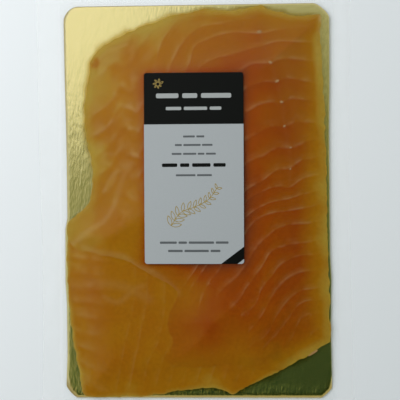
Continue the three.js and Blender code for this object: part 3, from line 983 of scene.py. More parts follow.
@dataclass
class SalmonSlices:
    """The two slices, each a closed, soft-edged sheet with its fat lines kept as numbers."""

    lay: Lay
    finish: Material
    fat: Material
    label_edge: np.ndarray  # the label's outline, beside which shadow is painted on the flesh
    spacing: float = 1.15
    relief: float = 0.05  # how far a muscle block swells between two fat lines
    # How deep the flesh looks: when it is thin, how much deeper on the back, and how uneven that is.
    tones: tuple[float, float, float] = (0.34, 0.55, 0.07)
    back_from: tuple[float, float] = (-42, 22)  # where the back begins and is full, across the slice
    laid_from: tuple[float, float] = (0, 26)  # and in from the laid edge
    top_from: tuple[float, float] = (60, 100)  # where the upper end turns paler, by Y
    side_from: tuple[float, float] = (48, 66)  # where the thin right side begins, by X
    # The edge lightens over a quick and a slow way in.
    edge_fades: tuple[tuple[float, float], ...] = ((-1.5, 6), (2, 20))
    # Painted shadow beside the label: how far it reaches, how dark it is, and how much darker at the lower
    # right.
    shades: tuple[tuple[float, float, float], ...] = ((3.0, 0.36, 0.06), (9.0, 0.12, 0.2))
    rings: tuple[float, ...] = (0.25, 0.7, 1.3)  # where points follow the rounded edge

    def build_upper(self) -> Object:
        """Makes the slice on top, which covers most of the board."""
        flat = FlatMesh.fill(self.lay.upper, self.spacing, rings=self.rings)
        p = flat.points
        stack = self.lay.at(p)
        back, flank = BACK_SEPTA.grain(p), FLANK_SEPTA.grain(p)
        x, y = p.T
        right = smoothstep(x + 0.1 * (y - 90), -32, -20)
        fade_out = smoothstep(stack.in_upper, 2, 12)
        beyond = smoothstep(x, 64, 78)
        low = smoothstep(-y, 40, 90)
        values = {
            "grain_a": back,
            "grain_b": flank,
            "lines_a": right * fade_out * (1 - 0.7 * low) * (1 - 0.5 * beyond) * BACK_SEPTA.shown(p),
            "lines_b": (1 - right) * smoothstep(stack.in_upper, 1, 7) * smoothstep(y, -24, 20)
                       * FLANK_SEPTA.shown(p),
            "body": self.body(p, stack),
            "pale": self.streaks(UPPER_STREAKS, p),
        }
        swell = self.relief * np.cos(2 * math.pi * (back * right + flank * (1 - right)) + math.pi) * fade_out
        obj = flat.solid("salmon_slice_upper", stack.upper_floor, stack.upper_top + swell, values)
        return settle(obj, [self.finish] * 3, "slice_upper")

    def build_lower(self) -> Object:
        """Makes the slice below, which shows at the bottom left."""
        flat = FlatMesh.fill(self.lay.lower, self.spacing * 1.15, rings=self.rings)
        p = flat.points
        stack = self.lay.at(p)
        x, y = p.T
        inner = smoothstep(x - 0.2 * (y + 80), -54, -40)
        thin, _, sway = self.tones
        body = (thin + 0.1 * smoothstep(stack.in_lower, 6, 16)) * smoothstep(stack.in_lower, -1.5, 3)
        values = {
            "grain_a": TAIL_SEPTA.grain(p),
            "grain_b": BELLY_SEPTA.grain(p),
            "lines_a": 0.3 * inner * smoothstep(stack.in_lower, 1.5, 9),
            "lines_b": 0.7 * (1 - smoothstep(x, -72, -50)) * smoothstep(stack.in_lower, 0.5, 5),
            "body": np.clip(body + sway * ripple(p, 26, seed=3), 0, 1),
            "pale": self.streaks(LOWER_STREAKS, p),
        }
        obj = flat.solid("salmon_slice_lower", stack.lower_floor, stack.lower_top, values)
        return settle(obj, [self.finish] * 3, "slice_lower")

    def body(self, p: np.ndarray, stack: Stack) -> np.ndarray:
        """How thick the flesh looks: thin at an edge and on the belly side, and deep on the back, with shadow
        painted beside the label.
        """
        x, y = p.T
        thin, deep, sway = self.tones
        back = smoothstep(x - 0.15 * y, *self.back_from)
        back *= 0.25 + 0.75 * smoothstep(stack.from_laid, *self.laid_from)
        back *= 1 - 0.25 * smoothstep(y, *self.top_from)
        inward = sum(0.5 * smoothstep(stack.from_outer, *fade) for fade in self.edge_fades)
        side = smoothstep(x, *self.side_from) * (1 - smoothstep(y, 100, 108))
        reach = 8 + 15 * (1 - smoothstep(y, -20, 90)) * (0.35 + 0.65 * smoothstep(y, -90, -20))
        inward *= 1 - 0.58 * side * (1 - smoothstep(stack.from_outer / reach, 0.1, 1))
        tone = (thin + deep * back) * inward + sway * ripple(p, 34, seed=9)
        # The last term is shadow painted beside the label.
        return np.clip(tone + FLAP.shade(p) + DEEP_BAND.shade(p) + self.painted_shadow(p), 0, 1.6)

    def painted_shadow(self, p: np.ndarray) -> np.ndarray:
        """Painted shadow beside the label: how much darker the flesh is there, most of all to its right and
        below it.
        """
        beside = np.maximum(-depth_inside(self.label_edge, p), 0)
        far = smoothstep((p - self.label_edge.mean(0)) @ (0.9, -0.45), 8, 34)
        return sum((shade + more * far) * np.exp(-((beside / reach) ** 2))
                   for reach, shade, more in self.shades)

    def build_beads(self) -> None:
        """Sets beads of fat on the upper slice where the septa meet."""
        places = np.array([bead[:2] for bead in FAT_BEADS])
        stack = self.lay.at(places)
        mesh = path_mesh("fat_beads", places, np.where(stack.in_upper > 0, stack.upper_top, BOARD_TOP + 0.3))
        keep(mesh, {key: [bead[column] for bead in FAT_BEADS]
                    for key, column in (("size", 2), ("width", 3), ("turn", 4))})
        made = grow(self.bead_tree(), mesh, {"Unit": 0.5 * MM})
        settle(place("fat_beads", made), [self.fat])

    def bead_tree(self) -> NodeTree:
        """The tree that sets a flattened bead on every point, by the point's size, width and turn.

        Returns:
            A tree with the length of a bead of size one as its input.
        """
        tree, given = new_tree("fat_bead_tree", {"Unit": "NodeSocketFloat"})
        bead = add(tree, "GeometryNodeMeshIcoSphere", {"Radius": 1.0, "Subdivisions": 3})
        knobbly = add(tree, "ShaderNodeTexNoise", {"Scale": 1.1, "Detail": 2.0})
        around = add(tree, "GeometryNodeInputNormal")
        swell = add(tree, "ShaderNodeVectorMath", {0: around, 3: knobbly}, operation="SCALE")
        uneven = add(tree, "GeometryNodeSetPosition", {"Geometry": bead, "Offset": swell})
        size, width, angle = (add(tree, "GeometryNodeInputNamedAttribute", {"Name": name}, data_type="FLOAT")
                              for name in ("size", "width", "turn"))
        long, wide = (calc(tree, "MULTIPLY", side, given.outputs["Unit"]) for side in (size, width))
        girth = add(tree, "ShaderNodeCombineXYZ", {0: long, 1: wide, 2: wide})
        flat = add(tree, "ShaderNodeVectorMath", {0: girth, 1: (0.66, 0.66, 0.25)}, operation="MULTIPLY")
        spin = add(tree, "ShaderNodeCombineXYZ", {2: calc(tree, "RADIANS", angle)})
        copies = add(tree, "GeometryNodeInstanceOnPoints", {
            "Points": given.outputs["Geometry"], "Instance": uneven, "Rotation": spin, "Scale": flat})
        return end_tree(tree, copies, self.fat)

    @staticmethod
    def streaks(bands: list[Streak], p: np.ndarray) -> np.ndarray:
        """The strongest of several bands at each point."""
        return np.max([band.shade(p) for band in bands], axis=0)


# --- the board

@dataclass(frozen=True)
class Corner:
    """How a corner of the board is cut back along its end and side, and how round the cut is."""

    end: float
    side: float
    round: float


@dataclass
class Board:
    """The card that the salmon lies on, gold on its face and white behind."""

    gold: Material
    core: Material
    back: Material
    corners: tuple[Corner, ...] = (  # from the lower left, anticlockwise
        Corner(7.0, 7.5, 0.22), Corner(7.0, 6.5, 0.22), Corner(10.0, 9.0, 0.32), Corner(9.0, 9.0, 0.5))
    spacing: float = 1.4
    rings: tuple[float, ...] = (0.3, 0.7, 1.2, 1.8, 2.5)  # where points follow the rolled edge
    roll: float = 0.14  # how far the face rolls down at the die-cut sides
    end_roll: float = 0.87  # and at the lower end
    lower_end: tuple[float, float] = (-116, -107)  # the lower end, by Y, and how it goes over into the face
    left_side: tuple[float, float] = (-80, -78)  # the same for the left side, by X
    left_field: tuple[float, float] = (-74, -60)  # the field of bare gold at the left, by X
    worn_end: tuple[float, float] = (-118, -111)  # where the lower end is worn, by Y
    band_reach: float = 2.0  # how far the darker band reaches out round the slices
    # How far the vacuum and the die leave each side inside the board's full width, by Y.
    left_draw: tuple[tuple[float, float], ...] = (
        (-116, 0.3), (-95, 1.1), (-64, 1.0), (-49, 0.2), (-17, 0.3), (-10, 1.6), (12, 1.5), (44, 1.2),
        (75, 0.5), (110, 0.0))
    right_draw: tuple[tuple[float, float], ...] = (
        (-116, 0.3), (-95, 0.6), (-78, 0.8), (-60, 0.5), (-48, 0.3), (-33, 1.0), (44, 1.1), (70, 0.6),
        (110, 0.4))

    def outline(self, step: float = 1.0) -> np.ndarray:
        """The board's outline, from its lower right corner, anticlockwise."""
        right, top = BOARD_SIZE / 2
        places = [(right, -top, (1, 0), (0, 1)), (right, top, (0, 1), (-1, 0)),
                  (-right, top, (-1, 0), (0, -1)), (-right, -top, (0, -1), (1, 0))]
        t = np.linspace(0, 1, 9)[:, None]
        rows = []
        for (x, y, into, out), corner in zip(places, (*self.corners[1:], self.corners[0])):
            into, out = np.array(into), np.array(out)
            arrive, leave = (corner.end, corner.side) if into[0] else (corner.side, corner.end)
            start, end = np.array((x, y)) - into * arrive, np.array((x, y)) + out * leave
            a, b = start + into * arrive * corner.round, end - out * leave * corner.round
            rows.append((1 - t)**3 * start + 3 * (1 - t)**2 * t * a + 3 * (1 - t) * t**2 * b + t**3 * end)
        points = evened(np.vstack(rows), step)
        for side, draw in ((-1, self.left_draw), (1, self.right_draw)):
            inward = np.interp(points[:, 1], *zip(*draw)) * smoothstep(side * points[:, 0], 64, 80)
            points[:, 0] -= side * inward
        return points

    def build(self, lay: Lay) -> Object:
        """Makes the board, with fine waves in its foil and a darker, greener band beside the slices."""
        edge = self.outline()
        flat = FlatMesh.fill(edge, self.spacing, edge_gap=0.5, rings=self.rings)
        p = flat.points
        depth = np.maximum(depth_inside(edge, p), 0)
        x, y = p.T
        low, left_side = 1 - smoothstep(y, *self.lower_end), 1 - smoothstep(x, *self.left_side)
        reach = 0.9 + 0.6 * left_side + low * (0.85 + 0.1 * ripple(p, 2.1, seed=37))
        drop = self.roll * (1 + left_side) + low * (self.end_roll - self.roll)
        rolled = drop * (1 - np.clip(depth / reach, 0, 1)) ** (2 - np.maximum(low, 0.7 * left_side))
        left = 1 - smoothstep(x, *self.left_field)
        waves = (0.012 + 0.02 * left) * ripple(p, 2.6, seed=31, stretch=3.0)
        end = 1 - smoothstep(y + 2.5 * ripple(p, 7, seed=39), *self.worn_end)
        end *= smoothstep(depth, 1.6, 2.6)
        rough_end = 0.07 * end * ripple(p, 1.5, seed=33)
        top = BOARD_TOP - rolled + waves * (depth > 0.6) + rough_end - 0.03
        floor = np.full(len(p), BACK_WEB_TOP + CONTACT)
        stack = lay.at(p)
        outside = -np.maximum(stack.in_upper, stack.in_lower)
        reach = self.band_reach + 0.9 * ripple(p, 9, seed=35)
        notch = (1 - smoothstep(x, -64, -52)) * (1 - smoothstep(y, 8, 45))
        dry = (1 - 0.85 * notch) * (1 - 0.6 * smoothstep(x, 70, 76))
        dry *= smoothstep(depth, 0.4 + 0.8 * left_side, 1.6 + 0.9 * left_side)
        damp = np.maximum(np.exp(-((np.maximum(outside, 0) / reach) ** 2)) * dry, 0.6 * low * (depth < 3))
        worn = np.maximum(1.1 * end, 0.35 * left * (1 - smoothstep(y, 60, 110)))
        obj = flat.solid("gold_board", floor, top, {"damp": damp, "worn": worn})
        return settle(obj, [self.gold, self.back, self.core], "board")


# --- the film

POUCH_LEFT = [(-99.9, 154), (-99.2, 90), (-98.2, 25), (-96.8, -30), (-96.6, -85), (-97.6, -144)]
POUCH_RIGHT = [(95.4, 154), (94.5, 70), (94.1, 0), (94.7, -60), (95.9, -110), (96.5, -144)]
# Long creases of the loose film beside the board, with their heights in millimetres.
CREASES = [
    Streak([(90.4, 121), (91.2, 96), (90.6, 66)], 1.6, 0.35),
    Streak([(-83, 46), (-90, 44.5), (-97, 44)], 1.2, 0.3),
    Streak([(84, 62), (89, 40), (92, 12)], 1.6, 0.2),
    Streak([(-84, -20), (-88, -40), (-90, -70)], 2.0, 0.2),
    Streak([(85, -60), (90, -84), (91, -110)], 1.6, 0.2),
]


@dataclass
class Pouch:
    """Two webs of film welded round their edge, the front one sucked down on the contents."""

    lay: Lay
    outer: Material
    contact: Material
    weld: Material
    web: float = 0.09
    cell: float = 1.5  # spacing of the grid that the film's form is worked out on
    clearance: float = 0.12  # what is left between the film and the contents
    suction: float = 0.09  # how far the air presses the film in over one cell
    rounds: int = 420  # how often the film is let settle
    xs: np.ndarray = field(init=False)
    ys: np.ndarray = field(init=False)
    form: np.ndarray = field(init=False)

    def __post_init__(self) -> None:
        """Lets the front web settle before anything asks for its height."""
        self.outline = self.edge()
        low, high = self.outline.min(0) - 3, self.outline.max(0) + 3
        self.xs = np.arange(low[0], high[0] + self.cell, self.cell)
        self.ys = np.arange(low[1], high[1] + self.cell, self.cell)
        self.form = self.relax()

    @staticmethod
    def edge() -> np.ndarray:
        """The pouch's outline, down its left side, which the vacuum draws in, and back up its right."""
        left, right = spline(POUCH_LEFT, 3.0), spline(POUCH_RIGHT, 3.0)[::-1]
        across = np.linspace(left[-1], right[0], 60)[1:-1]
        back = np.linspace(right[-1], left[0], 60)[1:-1]
        return np.vstack([left, across, right, back])

    def relax(self) -> np.ndarray:
        """Works out the tight film: it spans what it can, and the air presses it onto the rest.

        Returns:
            The height of the front web's underside on the grid.
        """
        grid = np.stack(np.meshgrid(self.xs, self.ys), axis=-1)
        points = grid.reshape(-1, 2)
        table = BACK_WEB_TOP + CONTACT + self.pleats(points)
        support = np.maximum(self.lay.contents_top(points) + self.clearance, table).reshape(grid.shape[:2])
        film = support.copy()
        for _ in range(self.rounds):
            around = sum(np.roll(film, step, axis) for axis in (0, 1) for step in (1, -1)) / 4
            film = np.maximum(support, around - self.suction)
        return film

    @staticmethod
    def pleats(points: np.ndarray) -> np.ndarray:
        """Low wrinkles in the margins, which run out from the board."""
        half = BOARD_SIZE / 2
        out = np.abs(points) - half
        beside = out[:, 0] > out[:, 1]
        along = np.where(beside, points[:, 1], points[:, 0])
        away = np.where(beside, out[:, 0], out[:, 1])
        fold = np.column_stack([along + 0.25 * away, np.full(len(points), 7.0) + np.sign(points[:, 0])])
        height = 0.5 * np.maximum(ripple(fold, 7.5, seed=41), 0) ** 2
        height *= smoothstep(away, 1, 6) * (1 - smoothstep(away, 9, 14))
        return height + np.sum([crease.shade(points) for crease in CREASES], axis=0)

    def height(self, points: np.ndarray) -> np.ndarray:
        """The front web's underside at any point, from the grid."""
        at = (points - (self.xs[0], self.ys[0])) / self.cell
        base = np.clip(np.floor(at).astype(int), 0, (len(self.xs) - 2, len(self.ys) - 2))
        return blend(self.form.T, base, base + 1, np.clip(at - base, 0, 1))

    def build(self) -> None:
        """Makes both webs and the ribs of the weld."""
        flat = FlatMesh.fill(self.outline, 1.9)
        p = flat.points
        under = self.height(p)
        loose = smoothstep(np.max(np.abs(p) - BOARD_SIZE / 2, axis=1), 0.5, 4)
        front = flat.solid("film_front", under, under + self.web, {"haze": loose})
        settle(front, [self.outer, self.contact, self.weld], "pouch_front")
        self.let_light_through(front)
        coarse = FlatMesh.fill(self.outline, 9.0)
        top = np.full(len(coarse.points), BACK_WEB_TOP)
        back = coarse.solid("film_back", top - self.web, top)
        settle(back, [self.contact, self.contact, self.weld], "pouch_back")
        self.let_light_through(back)
        self.build_weld()

    def build_weld(self) -> None:
        """Presses ribs into the weld across each end of the pouch."""
        tree = self.rib_tree()
        for name, knots, count in (("mouth", (POUCH_LEFT[0], POUCH_RIGHT[0]), 7),
                                   ("closed_end", (POUCH_LEFT[-1], POUCH_RIGHT[-1]), 5)):
            (left, y), (right, _) = knots
            end = math.copysign(1, y)
            line = np.column_stack([np.linspace(left + 1, right - 1, 64), np.full(64, y - end * 2)])
            mesh = path_mesh(f"{name}_weld", line, self.height(line) + self.web + 0.02)
            made = grow(tree, mesh, {"Count": count, "Step": -end * 1.3 * MM, "Radius": 0.22 * MM})
            self.let_light_through(settle(place(f"{name}_weld_ribs", made), [self.weld]))

    def rib_tree(self) -> NodeTree:
        """The tree that lays round ribs side by side along a weld.

        Returns:
            A tree with the ribs' number, step and radius as inputs.
        """
        tree, given = new_tree("weld_rib_tree", {
            "Count": "NodeSocketInt", "Step": "NodeSocketFloat", "Radius": "NodeSocketFloat"})
        way = add(tree, "ShaderNodeCombineXYZ", {1: given.outputs["Step"]})
        rows = add(tree, "GeometryNodeMeshLine", {
            "Count": given.outputs["Count"], "Offset": way}, mode="OFFSET")
        copies = add(tree, "GeometryNodeInstanceOnPoints", {
            "Points": rows, "Instance": given.outputs["Geometry"]})
        paths = add(tree, "GeometryNodeRealizeInstances", {0: copies})
        curve = add(tree, "GeometryNodeMeshToCurve", {0: paths})
        return end_tree(tree, tube(tree, curve, given.outputs["Radius"]), self.weld)

    @staticmethod
    def let_light_through(film: Object) -> None:
        """Keeps clear film from casting shadows, which real film this thin hardly does."""
        film.visible_shadow = False
        film.visible_diffuse = False


# --- the label

class Ink(Enum):
    """The colours that the label is printed in."""

    BLACK = "0b0c0c"
    WHITE = "a3a6a6"
    GREY = "5b5e61"
    GOLD = "a18a4c"


@dataclass
class Label:
    """The paper label on the front web, with plain bars and fields where words would be."""

    pouch: Pouch
    paper: Material
    inks: dict[Ink, Material]
    width: float = 60.9
    length: float = 117.1
    centre: tuple[float, float] = (-1.6, 20.15)
    turn: float = -0.14  # in degrees
    corner: float = 1.6
    sheet: float = 0.12  # how thick the paper is
    ink_film: float = 0.02  # and the ink on it
    bend: np.ndarray = field(init=False)

    def spin(self) -> np.ndarray:
        """The label's turn as a matrix."""
        angle = math.radians(self.turn)
        return np.array([[math.cos(angle), math.sin(angle)], [-math.sin(angle), math.cos(angle)]])

    def to_face(self, points: np.ndarray) -> np.ndarray:
        """Turns places on the label, from its own centre, into places on the pack's face."""
        return np.asarray(points, float) @ self.spin() + self.centre

    def __post_init__(self) -> None:
        """Fits the label's gentle bend to the film under it."""
        across, along = np.meshgrid(
            np.linspace(-0.5, 0.5, 15) * self.width, np.linspace(-0.5, 0.5, 25) * self.length)
        places = np.column_stack([across.ravel(), along.ravel()])
        under = self.pouch.height(self.to_face(places))
        self.bend, *_ = np.linalg.lstsq(self.terms(places), under, rcond=None)
        self.bend[0] += max(0.0, float((under - self.terms(places) @ self.bend).max()))

    @staticmethod
    def terms(places: np.ndarray) -> np.ndarray:
        """The terms of the smooth surface that stiff paper takes, as columns."""
        x, y = places.T
        return np.column_stack([np.ones_like(x), x, y, x * x, x * y, y * y, y**3, x * x * y])

    def outline(self) -> np.ndarray:
        """The label's outline on the pack's face."""
        half = (self.width / 2, self.length / 2)
        return self.to_face(self.rounded((-half[0], -half[1]), half, self.corner))

    def top(self, points: np.ndarray) -> np.ndarray:
        """The height of the label's printed side."""
        own = (points - self.centre) @ self.spin().T
        return self.terms(own) @ self.bend + self.pouch.web + CONTACT + self.sheet

    def rounded(self, low: tuple, high: tuple, radius: float | tuple) -> np.ndarray:
        """A box with round corners, anticlockwise from its lower right, on the label."""
        radii = radius if isinstance(radius, tuple) else (radius,) * 4
        places = [(high[0], low[1]), (high[0], high[1]), (low[0], high[1]), (low[0], low[1])]
        rows = []
        for i, ((x, y), r) in enumerate(zip(places, radii)):
            angles = np.radians(np.linspace(-90, 0, 7) + 90 * i)
            across = x - math.copysign(r, x - (low[0] + high[0]) / 2)
            along = y - math.copysign(r, y - (low[1] + high[1]) / 2)
            rows.append(np.column_stack([across + r * np.cos(angles), along + r * np.sin(angles)]))
        return np.vstack(rows)

    def lay_on(self, name: str, shapes: list[np.ndarray], height: float, thick: float) -> Object:
        """Makes closed patches that follow the label.

        Args:
            name: the piece's name.
            shapes: outlines on the label.
            height: how far the patches' underside is over the label's printed side.
            thick: how thick the patches are.

        Returns:
            One object that holds them all.
        """
        made = []
        for i, shape in enumerate(shapes):
            flat = FlatMesh.fill(evened(self.to_face(shape), 2.0), 3.0, edge_gap=0.5)
            base = self.top(flat.points) + height
            made.append(flat.solid(f"{name}_{i}", base, base + thick))
        if len(made) > 1:
            with bpy.context.temp_override(active_object=made[0], selected_editable_objects=made):
                bpy.ops.object.join()
        made[0].name = made[0].data.name = name
        return made[0]

    def build(self) -> None:
        """Makes the paper, the printed fields, the bars, the corner band and the sprig."""
        right, top = self.width / 2, self.length / 2
        shape = self.rounded((-right, -top), (right, top), self.corner)
        sheet = self.lay_on("label_paper", [shape], -self.sheet, self.sheet)
        settle(sheet, [self.paper] * 3, "label")
        for ink, shapes in self.prints().items():
            thick = self.ink_film * (2 if ink is Ink.WHITE else 1)
            patch = self.lay_on(f"label_print_{ink.name.lower()}", shapes, 0.0, thick)
            settle(patch, [self.inks[ink]] * 3)
        self.drawings()

    def bar(self, x: float, y: float, wide: float, tall: float) -> np.ndarray:
        """A bar with round ends, centred on a place of the label."""
        return self.rounded((x - wide / 2, y - tall / 2), (x + wide / 2, y + tall / 2), tall * 0.3)

    def row(self, y: float, wide: float, tall: float, shares: tuple[int, ...]) -> list[np.ndarray]:
        """A row of plain bars, centred on the label.

        Args:
            y: the row's height on the label.
            wide: the row's whole width.
            tall: the bars' height.
            shares: how wide each bar is beside the others.

        Returns:
            The bars' outlines.
        """
        gap = tall * 0.8
        unit = (wide - gap * (len(shares) - 1)) / sum(shares)
        bars, left = [], -wide / 2
        for share in shares:
            bars.append(self.bar(left + share * unit / 2, y, share * unit, tall))
            left += share * unit + gap
        return bars

    def prints(self) -> dict[Ink, list[np.ndarray]]:
        """The outlines printed in each ink."""
        right, top, inside = self.width / 2, self.length / 2, self.corner
        header = self.rounded((-right, top - 31.6), (right, top), (0.05, inside, inside, 0.05))
        band = np.array([
            (right, -top + 10.5), (right - 14.0, -top), (right - 4.1, -top), (right, -top + 3.0)])
        return {
            Ink.BLACK: [header, band[::-1], *self.row(1.9, 39, 2.2, (5, 3, 6, 4))],
            Ink.WHITE: [*self.row(44.4, 46, 2.9, (6, 4, 8)), *self.row(36.6, 34, 2.0, (4, 6, 3))],
            Ink.GREY: [*self.row(19.4, 13, 1.2, (3, 2)), *self.row(14.2, 23, 1.2, (2, 5, 3)),
                       *self.row(8.8, 27, 1.2, (3, 4, 2, 3)), *self.row(-4.3, 22, 1.2, (4, 3)),
                       *self.row(-45.5, 42, 1.4, (4, 2, 6, 3)), *self.row(-50.6, 32, 1.4, (3, 5, 2))],
        }

    def drawings(self) -> None:
        """Prints a leafy sprig in the middle and a small leaf star in the dark field, in gold lines."""
        angles = np.radians(np.arange(0, 360, 15))
        star = np.column_stack([np.cos(angles), np.sin(angles)]) * 1.2 + (-21.8, 51.6)
        stem = spline([(-14, -35), (-8, -27), (1, -23.5), (9, -19), (14, -12.5)], 0.8)
        for name, path, closed, leaf, pitch, line in (
                ("sprig", stem, False, 6.4, 3.4, 0.2), ("leaf_star", star, True, 2.6, 1.25, 0.19)):
            flat = path_mesh(name, self.to_face(path), np.zeros(len(path)), closed)
            made = grow(self.leaf_tree(), flat, {
                "Leaf": leaf * MM, "Pitch": pitch * MM, "Line": line * MM, "Both Sides": not closed})
            corners = np.empty(len(made.vertices) * 3, np.float32)
            made.vertices.foreach_get("co", corners)
            corners = corners.reshape(-1, 3)
            under = self.top(corners[:, :2] / MM - BOARD_CENTRE) + self.ink_film * (2 if closed else 1)
            corners[:, 2] += under * MM
            made.vertices.foreach_set("co", corners.ravel())
            settle(place(f"label_{name}", made), [self.inks[Ink.GOLD]])

    def leaf_tree(self) -> NodeTree:
        """The tree that sets leaves, drawn in outline, along a path on flat paper.

        Returns:
            A tree with the first leaf's length, the pitch, the line's half width and whether
            leaves grow on both sides as inputs.
        """
        tree, given = new_tree("leaf_tree", {"Leaf": "NodeSocketFloat", "Pitch": "NodeSocketFloat",
                                             "Line": "NodeSocketFloat", "Both Sides": "NodeSocketBool"})
        stem = add(tree, "GeometryNodeMeshToCurve", {0: given.outputs["Geometry"]})
        joints = add(tree, "GeometryNodeResampleCurve", {
            "Curve": stem, "Length": given.outputs["Pitch"]}, mode="LENGTH")
        along = add(tree, "GeometryNodeSplineParameter")
        slimmer = ranged(tree, along.outputs["Factor"], 1.0, 0.5)
        size = calc(tree, "MULTIPLY", slimmer, given.outputs["Leaf"])
        tangent = add(tree, "GeometryNodeInputTangent")
        ahead = add(tree, "FunctionNodeAlignRotationToVector", {"Vector": tangent}, axis="X", pivot_axis="Z")
        leaf, lines = add(tree, "GeometryNodeJoinGeometry"), add(tree, "GeometryNodeJoinGeometry", {0: stem})
        for bulge in (-0.36, 0.36):
            edge = add(tree, "GeometryNodeCurveQuadraticBezier", {
                "Resolution": 12, "Start": (0, 0, 0), "Middle": (0.42, bulge, 0), "End": (1, 0, 0)})
            tree.links.new(edge.outputs[0], leaf.inputs[0])
        for angle, wanted in ((-52, True), (52, given.outputs["Both Sides"])):
            turned = add(tree, "FunctionNodeRotateRotation", {
                "Rotation": ahead, "Rotate By": (0, 0, math.radians(angle))}, rotation_space="LOCAL")
            leaves = add(tree, "GeometryNodeInstanceOnPoints", {
                "Points": joints, "Selection": wanted, "Instance": leaf, "Rotation": turned, "Scale": size})
            real = add(tree, "GeometryNodeRealizeInstances", {0: leaves})
            tree.links.new(real.outputs[0], lines.inputs[0])
        upright = add(tree, "GeometryNodeSetCurveNormal", {"Curve": lines}, mode="Z_UP")
        drawn = tube(tree, upright, given.outputs["Line"])
        low = add(tree, "GeometryNodeTransform", {"Geometry": drawn, "Scale": (1, 1, 0.08)})
        return end_tree(tree, low, self.inks[Ink.GOLD])


# --- table, light, camera

@dataclass(frozen=True)
class SoftLight:
    """A flat, evenly bright panel of light, in metres from the middle of the pack."""

    name: str
    place: tuple[float, float, float]
    size: tuple[float, float]
    radiance: float
    aim: tuple[float, float, float] = (0.0, 0.0, 0.0)
    mirrored: bool = True  # whether shiny things show the panel

    def watts(self) -> float:
        """The power that gives the panel its radiance."""
        return self.radiance * self.size[0] * self.size[1] * math.pi


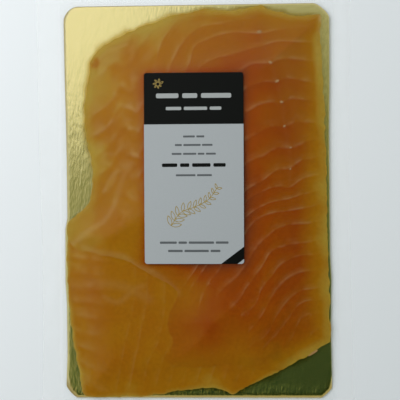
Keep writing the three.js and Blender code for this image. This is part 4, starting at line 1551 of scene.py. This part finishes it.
@dataclass(frozen=True)
class Studio:
    """A sheet of white paper on a table, large soft lights and the camera straight above.

    The room is pale all round and dim overhead, greenish where it is darkest, a little to the
    lower right. The gold mirrors that part of it.
    """

    soft_lights: tuple[SoftLight, ...] = (
        SoftLight("ceiling_panel", (-0.225, 0.30, 0.80), (0.35, 0.40), 0.5, aim=(-0.225, 0.30, 0.0)),
        SoftLight("left_window", (-0.5, 0.3, 0.45), (0.9, 0.72), 2.5, mirrored=False),
        SoftLight("right_wall", (0.55, 0.45, 0.5), (0.6, 0.6), 0.5, mirrored=False),
    )
    dark_way: tuple[float, float, float] = (0.2, -0.4, 1.0)
    glow: tuple[tuple[float, float, str], ...] = (  # degrees from the dark part's middle, brightness and tint
        (13, 0.041, "9eff8d"), (17, 0.065, "9dff97"), (19, 0.088, "a0ff9e"), (21, 0.13, "b6ff9f"),
        (23, 0.19, "d4ff8c"), (25, 0.245, "e9ff98"), (27, 0.28, "f0ffa6"), (29, 0.3, "f5ffae"),
        (31, 0.397, "f5ffbe"), (33, 0.587, "f7ffda"), (35, 0.685, "f4ffe9"), (38, 0.7, "f2fff3"),
        (41, 0.78, "f4fcf8"), (44, 0.84, "f2f8ff"), (60, 0.65, "edf3fc"), (180, 0.65, "edf3fc"))
    room_strength: float = 0.8
    lens: float = 85.0
    camera_from_board: tuple[float, float, float] = (25.7, -1.9, 583.2)
    camera_turn: tuple[float, float, float] = (0.24, 2.35, -0.40)

    def build(self) -> None:
        """Makes the table, the lights, the surroundings and the camera."""
        self.table()
        self.lights()
        self.surroundings()
        self.camera()

    def table(self) -> None:
        """Lays a plain sheet of paper under the pack."""
        half = 1.6
        mesh = bpy.data.meshes.new("table_paper")
        corners = [(-half, -half, 0), (half, -half, 0), (half, half, 0), (-half, half, 0)]
        mesh.from_pydata(corners, [], [(0, 1, 2, 3)])
        paper = place("table_paper", mesh)
        mesh.materials.append(TablePaper().build())

    def lights(self) -> None:
        """Hangs each soft light, facing the pack."""
        for light in self.soft_lights:
            lamp = bpy.data.lights.new(light.name, "AREA")
            lamp.shape, lamp.size, lamp.size_y = "RECTANGLE", *light.size
            lamp.energy = light.watts()
            holder = place(light.name, lamp)
            holder.location = light.place
            way = Vector(light.aim) - Vector(light.place)
            holder.rotation_euler = way.to_track_quat("-Z", "Y").to_euler()
            holder.visible_camera = False
            holder.visible_glossy = light.mirrored

    def surroundings(self) -> None:
        """Gives a room that is pale all round and dark overhead."""
        world = bpy.data.worlds.new("room")
        world.use_nodes = True
        tree = world.node_tree
        tree.nodes.clear()
        dark = Vector(self.dark_way).normalized()
        toward = add(tree, "ShaderNodeVectorMath", {
            0: add(tree, "ShaderNodeTexCoord").outputs["Generated"], 1: dark}, operation="DOT_PRODUCT")
        share = calc(tree, "DIVIDE", calc(tree, "ARCCOSINE", toward.outputs["Value"]), math.pi)
        colours = [(degrees / 180, [channel * bright for channel in linear(tint)[:3]] + [1.0])
                   for degrees, bright, tint in self.glow]
        lit = ramp(tree, share, [(0.0, colours[0][1]), *colours])
        glow = add(tree, "ShaderNodeBackground", {0: lit, 1: self.room_strength})
        add(tree, "ShaderNodeOutputWorld", {0: glow})
        bpy.context.scene.world = world
        bpy.context.scene.view_settings.view_transform = "Standard"

    def camera(self) -> None:
        """Hangs the camera over the board, a touch to the right of its centre."""
        lens = bpy.data.cameras.new("camera")
        lens.lens = self.lens
        holder = place("camera", lens)
        holder.location = (np.append(BOARD_CENTRE, BOARD_TOP) + self.camera_from_board) * MM
        holder.rotation_euler = [math.radians(a) for a in self.camera_turn]
        bpy.context.scene.camera = holder


# --- main

def main() -> None:
    """Builds every piece in order, from the board up, and then the studio."""
    logging.basicConfig(level=logging.INFO, format="%(name)s %(message)s")
    lay = Lay(jagged(spline([*UPPER_OUTER_EDGE, *UPPER_LAID_EDGE], 0.9, closed=True), 0.8, seed=61),
              jagged(spline([*LOWER_OUTER_EDGE, *LOWER_TUCKED_EDGE], 0.9, closed=True), 0.7, seed=67),
              spline(UPPER_OUTER_EDGE, 1.5),
              spline([UPPER_OUTER_EDGE[-1], *UPPER_LAID_EDGE, UPPER_OUTER_EDGE[0]], 1.5))
    pouch = Pouch(lay, PouchFilm("pouch_film", FilmSide.OUTER).build(),
                  PouchFilm("pouch_film_contact", FilmSide.CONTACT).build(),
                  PouchFilm("welded_film", FilmSide.OUTER, frost=0.06).build())
    pouch.build()
    sheens = {Ink.BLACK: 0.15}
    inks = {ink: PrintedPaper(f"{ink.name.lower()}_ink", ink.value, sheen=sheens.get(ink, 0.3)).build()
            for ink in Ink}
    label = Label(pouch, PrintedPaper("coated_label_paper", "a8acaf").build(), inks)
    core, back = PulpCard("card_core"), PulpCard("card_back", "e6e6e2")
    Board(GoldFoilCard().build(), core.build(), back.build()).build(lay)
    slices = SalmonSlices(lay, SmokedSalmonFlesh().build(), BeadFat().build(), label.outline())
    slices.build_lower()
    slices.build_upper()
    slices.build_beads()
    label.build()
    Studio().build()


if __name__ == "__main__":
    main()
